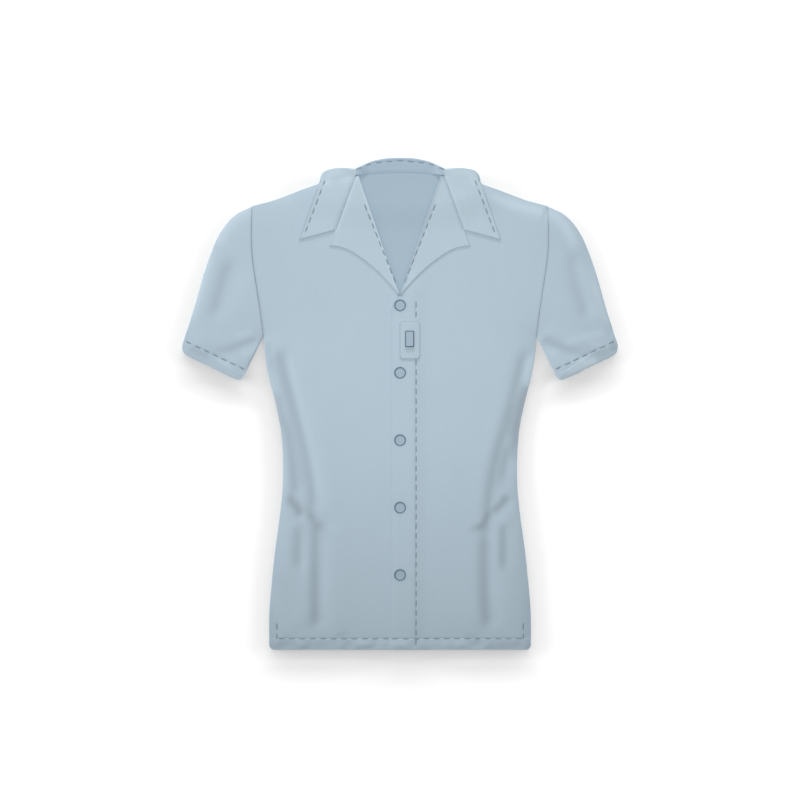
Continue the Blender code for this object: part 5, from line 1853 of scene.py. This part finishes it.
def stitch_nodes():
    """The node group that turns lines on the cloth into bars of thread."""
    group = bpy.data.node_groups.new("row_of_stitches", "GeometryNodeTree")
    face = group.interface
    face.new_socket("Geometry", in_out="INPUT", socket_type="NodeSocketGeometry")
    face.new_socket("Pitch", in_out="INPUT", socket_type="NodeSocketFloat")
    face.new_socket("Seed", in_out="INPUT", socket_type="NodeSocketInt")
    face.new_socket("Thread", in_out="INPUT", socket_type="NodeSocketMaterial")
    face.new_socket("Geometry", in_out="OUTPUT", socket_type="NodeSocketGeometry")
    made = {}

    def node(kind, key, **settings):
        made[key] = group.nodes.new(kind)
        for name, value in settings.items():
            setattr(made[key], name, value)
        return made[key]

    node("NodeGroupInput", "in")
    node("NodeGroupOutput", "out")
    node("GeometryNodeMeshToCurve", "curve")
    node("GeometryNodeResampleCurve", "resample", mode="LENGTH")
    node("GeometryNodeInputTangent", "tangent")
    set_inputs(node("GeometryNodeInputNamedAttribute", "up", data_type="FLOAT_VECTOR"), {"Name": "up"})
    node("FunctionNodeAlignRotationToVector", "along", axis="X", pivot_axis="Z")
    node("FunctionNodeAlignRotationToVector", "level", axis="Z", pivot_axis="X")
    set_inputs(node("GeometryNodeMeshCube", "bar"), {"Size": BAR, **BAR_GRID})
    node("GeometryNodeInputPosition", "place")
    node("ShaderNodeSeparateXYZ", "split")
    node("ShaderNodeMath", "end", operation="DIVIDE").inputs[1].default_value = BAR[0] / 2
    node("ShaderNodeMath", "end_4", operation="POWER").inputs[1].default_value = 4.0
    node("ShaderNodeMath", "narrow", operation="MULTIPLY_ADD")
    made["narrow"].inputs[1].default_value = -BAR_NARROWS
    made["narrow"].inputs[2].default_value = 1.0
    node("ShaderNodeMath", "y", operation="MULTIPLY")
    node("ShaderNodeMath", "across", operation="DIVIDE").inputs[1].default_value = BAR[1] / 2
    node("ShaderNodeMath", "across_2", operation="POWER").inputs[1].default_value = 2.0
    node("ShaderNodeMath", "round", operation="MULTIPLY_ADD")
    made["round"].inputs[1].default_value = -BAR_ROUNDS
    made["round"].inputs[2].default_value = 1.0
    node("ShaderNodeMath", "z", operation="MULTIPLY")
    node("ShaderNodeMath", "dive", operation="MULTIPLY_ADD").inputs[1].default_value = -BAR_DIVES * BAR[2]
    node("ShaderNodeCombineXYZ", "shaped")
    node("GeometryNodeSetPosition", "shape")
    node("GeometryNodeStoreNamedAttribute", "keep", data_type="FLOAT_VECTOR")
    set_inputs(made["keep"], {"Name": "bar_place"})
    node("ShaderNodeVectorMath", "in_bars", operation="SCALE").inputs["Scale"].default_value = 1 / BAR[1]
    node("GeometryNodeInstanceOnPoints", "instances")
    node("FunctionNodeRandomValue", "size_jitter", data_type="FLOAT_VECTOR")
    set_inputs(made["size_jitter"], {"Min": SMALLEST, "Max": LARGEST})
    node("FunctionNodeRandomValue", "turn_jitter", data_type="FLOAT_VECTOR")
    set_inputs(made["turn_jitter"], {"Min": (0.0, 0.0, -MOST_TURN), "Max": (0.0, 0.0, MOST_TURN)})
    node("GeometryNodeRotateInstances", "turn")
    node("GeometryNodeRealizeInstances", "real")
    node("GeometryNodeSetShadeSmooth", "soft")
    node("GeometryNodeSetMaterial", "paint")
    for source, output, target, key in (
        ("in", "Geometry", "curve", "Mesh"),
        ("curve", "Curve", "resample", "Curve"),
        ("in", "Pitch", "resample", "Length"),
        ("resample", "Curve", "instances", "Points"),
        ("tangent", "Tangent", "along", "Vector"),
        ("along", "Rotation", "level", "Rotation"),
        ("up", "Attribute", "level", "Vector"),
        ("level", "Rotation", "instances", "Rotation"),
        ("place", "Position", "split", "Vector"),
        ("split", "X", "end", 0),
        ("end", 0, "end_4", 0),
        ("end_4", 0, "narrow", 0),
        ("split", "Y", "y", 0),
        ("narrow", 0, "y", 1),
        ("split", "Y", "across", 0),
        ("across", 0, "across_2", 0),
        ("across_2", 0, "round", 0),
        ("split", "Z", "z", 0),
        ("round", 0, "z", 1),
        ("end_4", 0, "dive", 0),
        ("z", 0, "dive", 2),
        ("split", "X", "shaped", "X"),
        ("y", 0, "shaped", "Y"),
        ("dive", 0, "shaped", "Z"),
        ("place", "Position", "in_bars", 0),
        ("bar", "Mesh", "keep", "Geometry"),
        ("in_bars", "Vector", "keep", "Value"),
        ("keep", "Geometry", "shape", "Geometry"),
        ("shaped", "Vector", "shape", "Position"),
        ("shape", "Geometry", "instances", "Instance"),
        ("in", "Seed", "size_jitter", "Seed"),
        ("size_jitter", "Value", "instances", "Scale"),
        ("in", "Seed", "turn_jitter", "Seed"),
        ("instances", "Instances", "turn", "Instances"),
        ("turn_jitter", "Value", "turn", "Rotation"),
        ("turn", "Instances", "real", "Geometry"),
        ("real", "Geometry", "soft", "Geometry"),
        ("soft", "Geometry", "paint", "Geometry"),
        ("in", "Thread", "paint", "Material"),
        ("paint", "Geometry", "out", "Geometry"),
    ):
        group.links.new(made[source].outputs[output], made[target].inputs[key])
    return group


row_of_stitches = stitch_nodes()
print("nodes in the group:", len(row_of_stitches.nodes))

# %% [markdown]
# ## The rows on the shirt
#
# Each line is cut into short steps, and every step is dropped straight onto its panel. The node group then
# sets the bars along it. The result is made one plain mesh for each panel, and the modifier goes.

# %% The rows on the shirt
LINE_STEP = 0.002
RAY_START = 0.05  # well off the cloth, above or below it
BAR_STANDS = 0.25  # the bar's middle stands this share of its thickness out of the cloth


def bars_on(panel, name, lines, seed, from_above=True):
    """Rows of thread on a panel, from lines of (x, height) whose ends are the first and last bars."""
    mesh = panel.data
    surface = BVHTree.FromPolygons([v.co for v in mesh.vertices], [p.vertices for p in mesh.polygons])
    down = -1.0 if from_above else 1.0
    places, ups, edges = [], [], []
    for line in lines:
        length = np.linalg.norm(np.diff(np.array(line), axis=0), axis=1).sum()
        spots = along(np.array(line), np.linspace(0, 1, max(2, round(length / LINE_STEP) + 1)))
        for i, (spot_x, spot_height) in enumerate(spots):
            start = Vector((spot_x, spot_height - LENGTH / 2, -RAY_START * down))
            hit, up, _, _ = surface.ray_cast(start, Vector((0, 0, down)))
            if i:
                edges.append((len(places) - 1, len(places)))
            places.append(hit + up * (BAR_STANDS * BAR[2]))
            ups.append(up)
    carrier = bpy.data.meshes.new(name)
    carrier.from_pydata(places, edges, [])
    stored = carrier.attributes.new("up", "FLOAT_VECTOR", "POINT")
    stored.data.foreach_set("vector", np.array(ups, dtype=np.float32).ravel())
    rows = bpy.data.objects.new(name, carrier)
    scene.collection.objects.link(rows)
    sewn = rows.modifiers.new("sewn", "NODES")
    sewn.node_group = row_of_stitches
    sizes = {"Pitch": STITCH_PITCH, "Seed": seed, "Thread": thread_finish}
    for item in row_of_stitches.interface.items_tree:
        if item.in_out == "INPUT" and item.name in sizes:
            sewn[item.identifier] = sizes[item.name]
    bpy.context.view_layer.update()
    made = bpy.data.meshes.new_from_object(rows.evaluated_get(bpy.context.evaluated_depsgraph_get()))
    rows.modifiers.clear()
    rows.data = made
    made.name = name
    bpy.data.meshes.remove(carrier)
    shirt_only.objects.link(rows)
    shade_makers.objects.link(rows)
    print(name, len(made.polygons), "faces")
    return rows


# panel, name, rows of stitching and their seed: the back is sewn from below
SEWN = [
    (collar, "collar", [mirrored(LEAF_BARS, -1), mirrored(LEAF_BARS, 1), ARC_BARS], 3),
    (back, "back", BACK_BARS, 1),
    (right_front, "right_front", FRONT_BARS[-1], 5),
    (left_front, "left_front", FRONT_BARS[1], 7),
    (right_sleeve, "right_sleeve", [mirrored(CUFF_BARS, -1)], 11),
    (left_sleeve, "left_sleeve", [mirrored(CUFF_BARS, 1)], 13),
    (right_lapel, "right_lapel", [mirrored(LAPEL_BARS, -1)], 17),
    (left_lapel, "left_lapel", [mirrored(LAPEL_BARS, 1)], 19),
]
stitches = {}
for panel, name, lines, seed in SEWN:
    stitches[panel] = bars_on(panel, f"{name}_stitches", lines, seed, from_above=panel != back)

# %% [markdown]
# ## Cut sizes
#
# The area of the back's flat cut is worked out from its pattern's own outline.

# %% Cut sizes


def outline_area(x, height):
    """Area of the pattern piece whose places are a grid, from the outline of that grid."""
    ring_x = np.concatenate([x[0], x[1:, -1], x[-1, -2::-1], x[-2:0:-1, 0]])
    ring_y = np.concatenate([height[0], height[1:, -1], height[-1, -2::-1], height[-2:0:-1, 0]])
    return 0.5 * abs(float(np.dot(ring_x, np.roll(ring_y, -1)) - np.dot(ring_y, np.roll(ring_x, -1))))


back_area = outline_area(*back_places(0.02))

# %% [markdown]
# ## The frame
#
# Last, every piece and every row of stitching is hung on the shirt's root, and each piece's solid in the
# imported model is hidden, so that the piece takes its place.

# %% The frame
PLACES = {
    back: ("back", "shirt_cloth"),
    right_front: ("right_front", "shirt_cloth"),
    left_front: ("left_front", "shirt_cloth"),
    right_sleeve: ("right_sleeve", "shirt_cloth"),
    left_sleeve: ("left_sleeve", "shirt_cloth"),
    right_lapel: ("right_lapel", "collar_cloth"),
    left_lapel: ("left_lapel", "collar_cloth"),
    collar: ("collar", "collar_cloth"),
    tab: ("placket_tab", "tab_cloth"),
    stud: ("tab_stud", "stud"),
}
PLACES.update({button: (f"button_{k}", "button") for k, button in enumerate(buttons, start=1)})
for piece, (node, slot) in PLACES.items():
    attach(piece, "root")
    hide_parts(node)
for rows in stitches.values():
    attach(rows, "root")
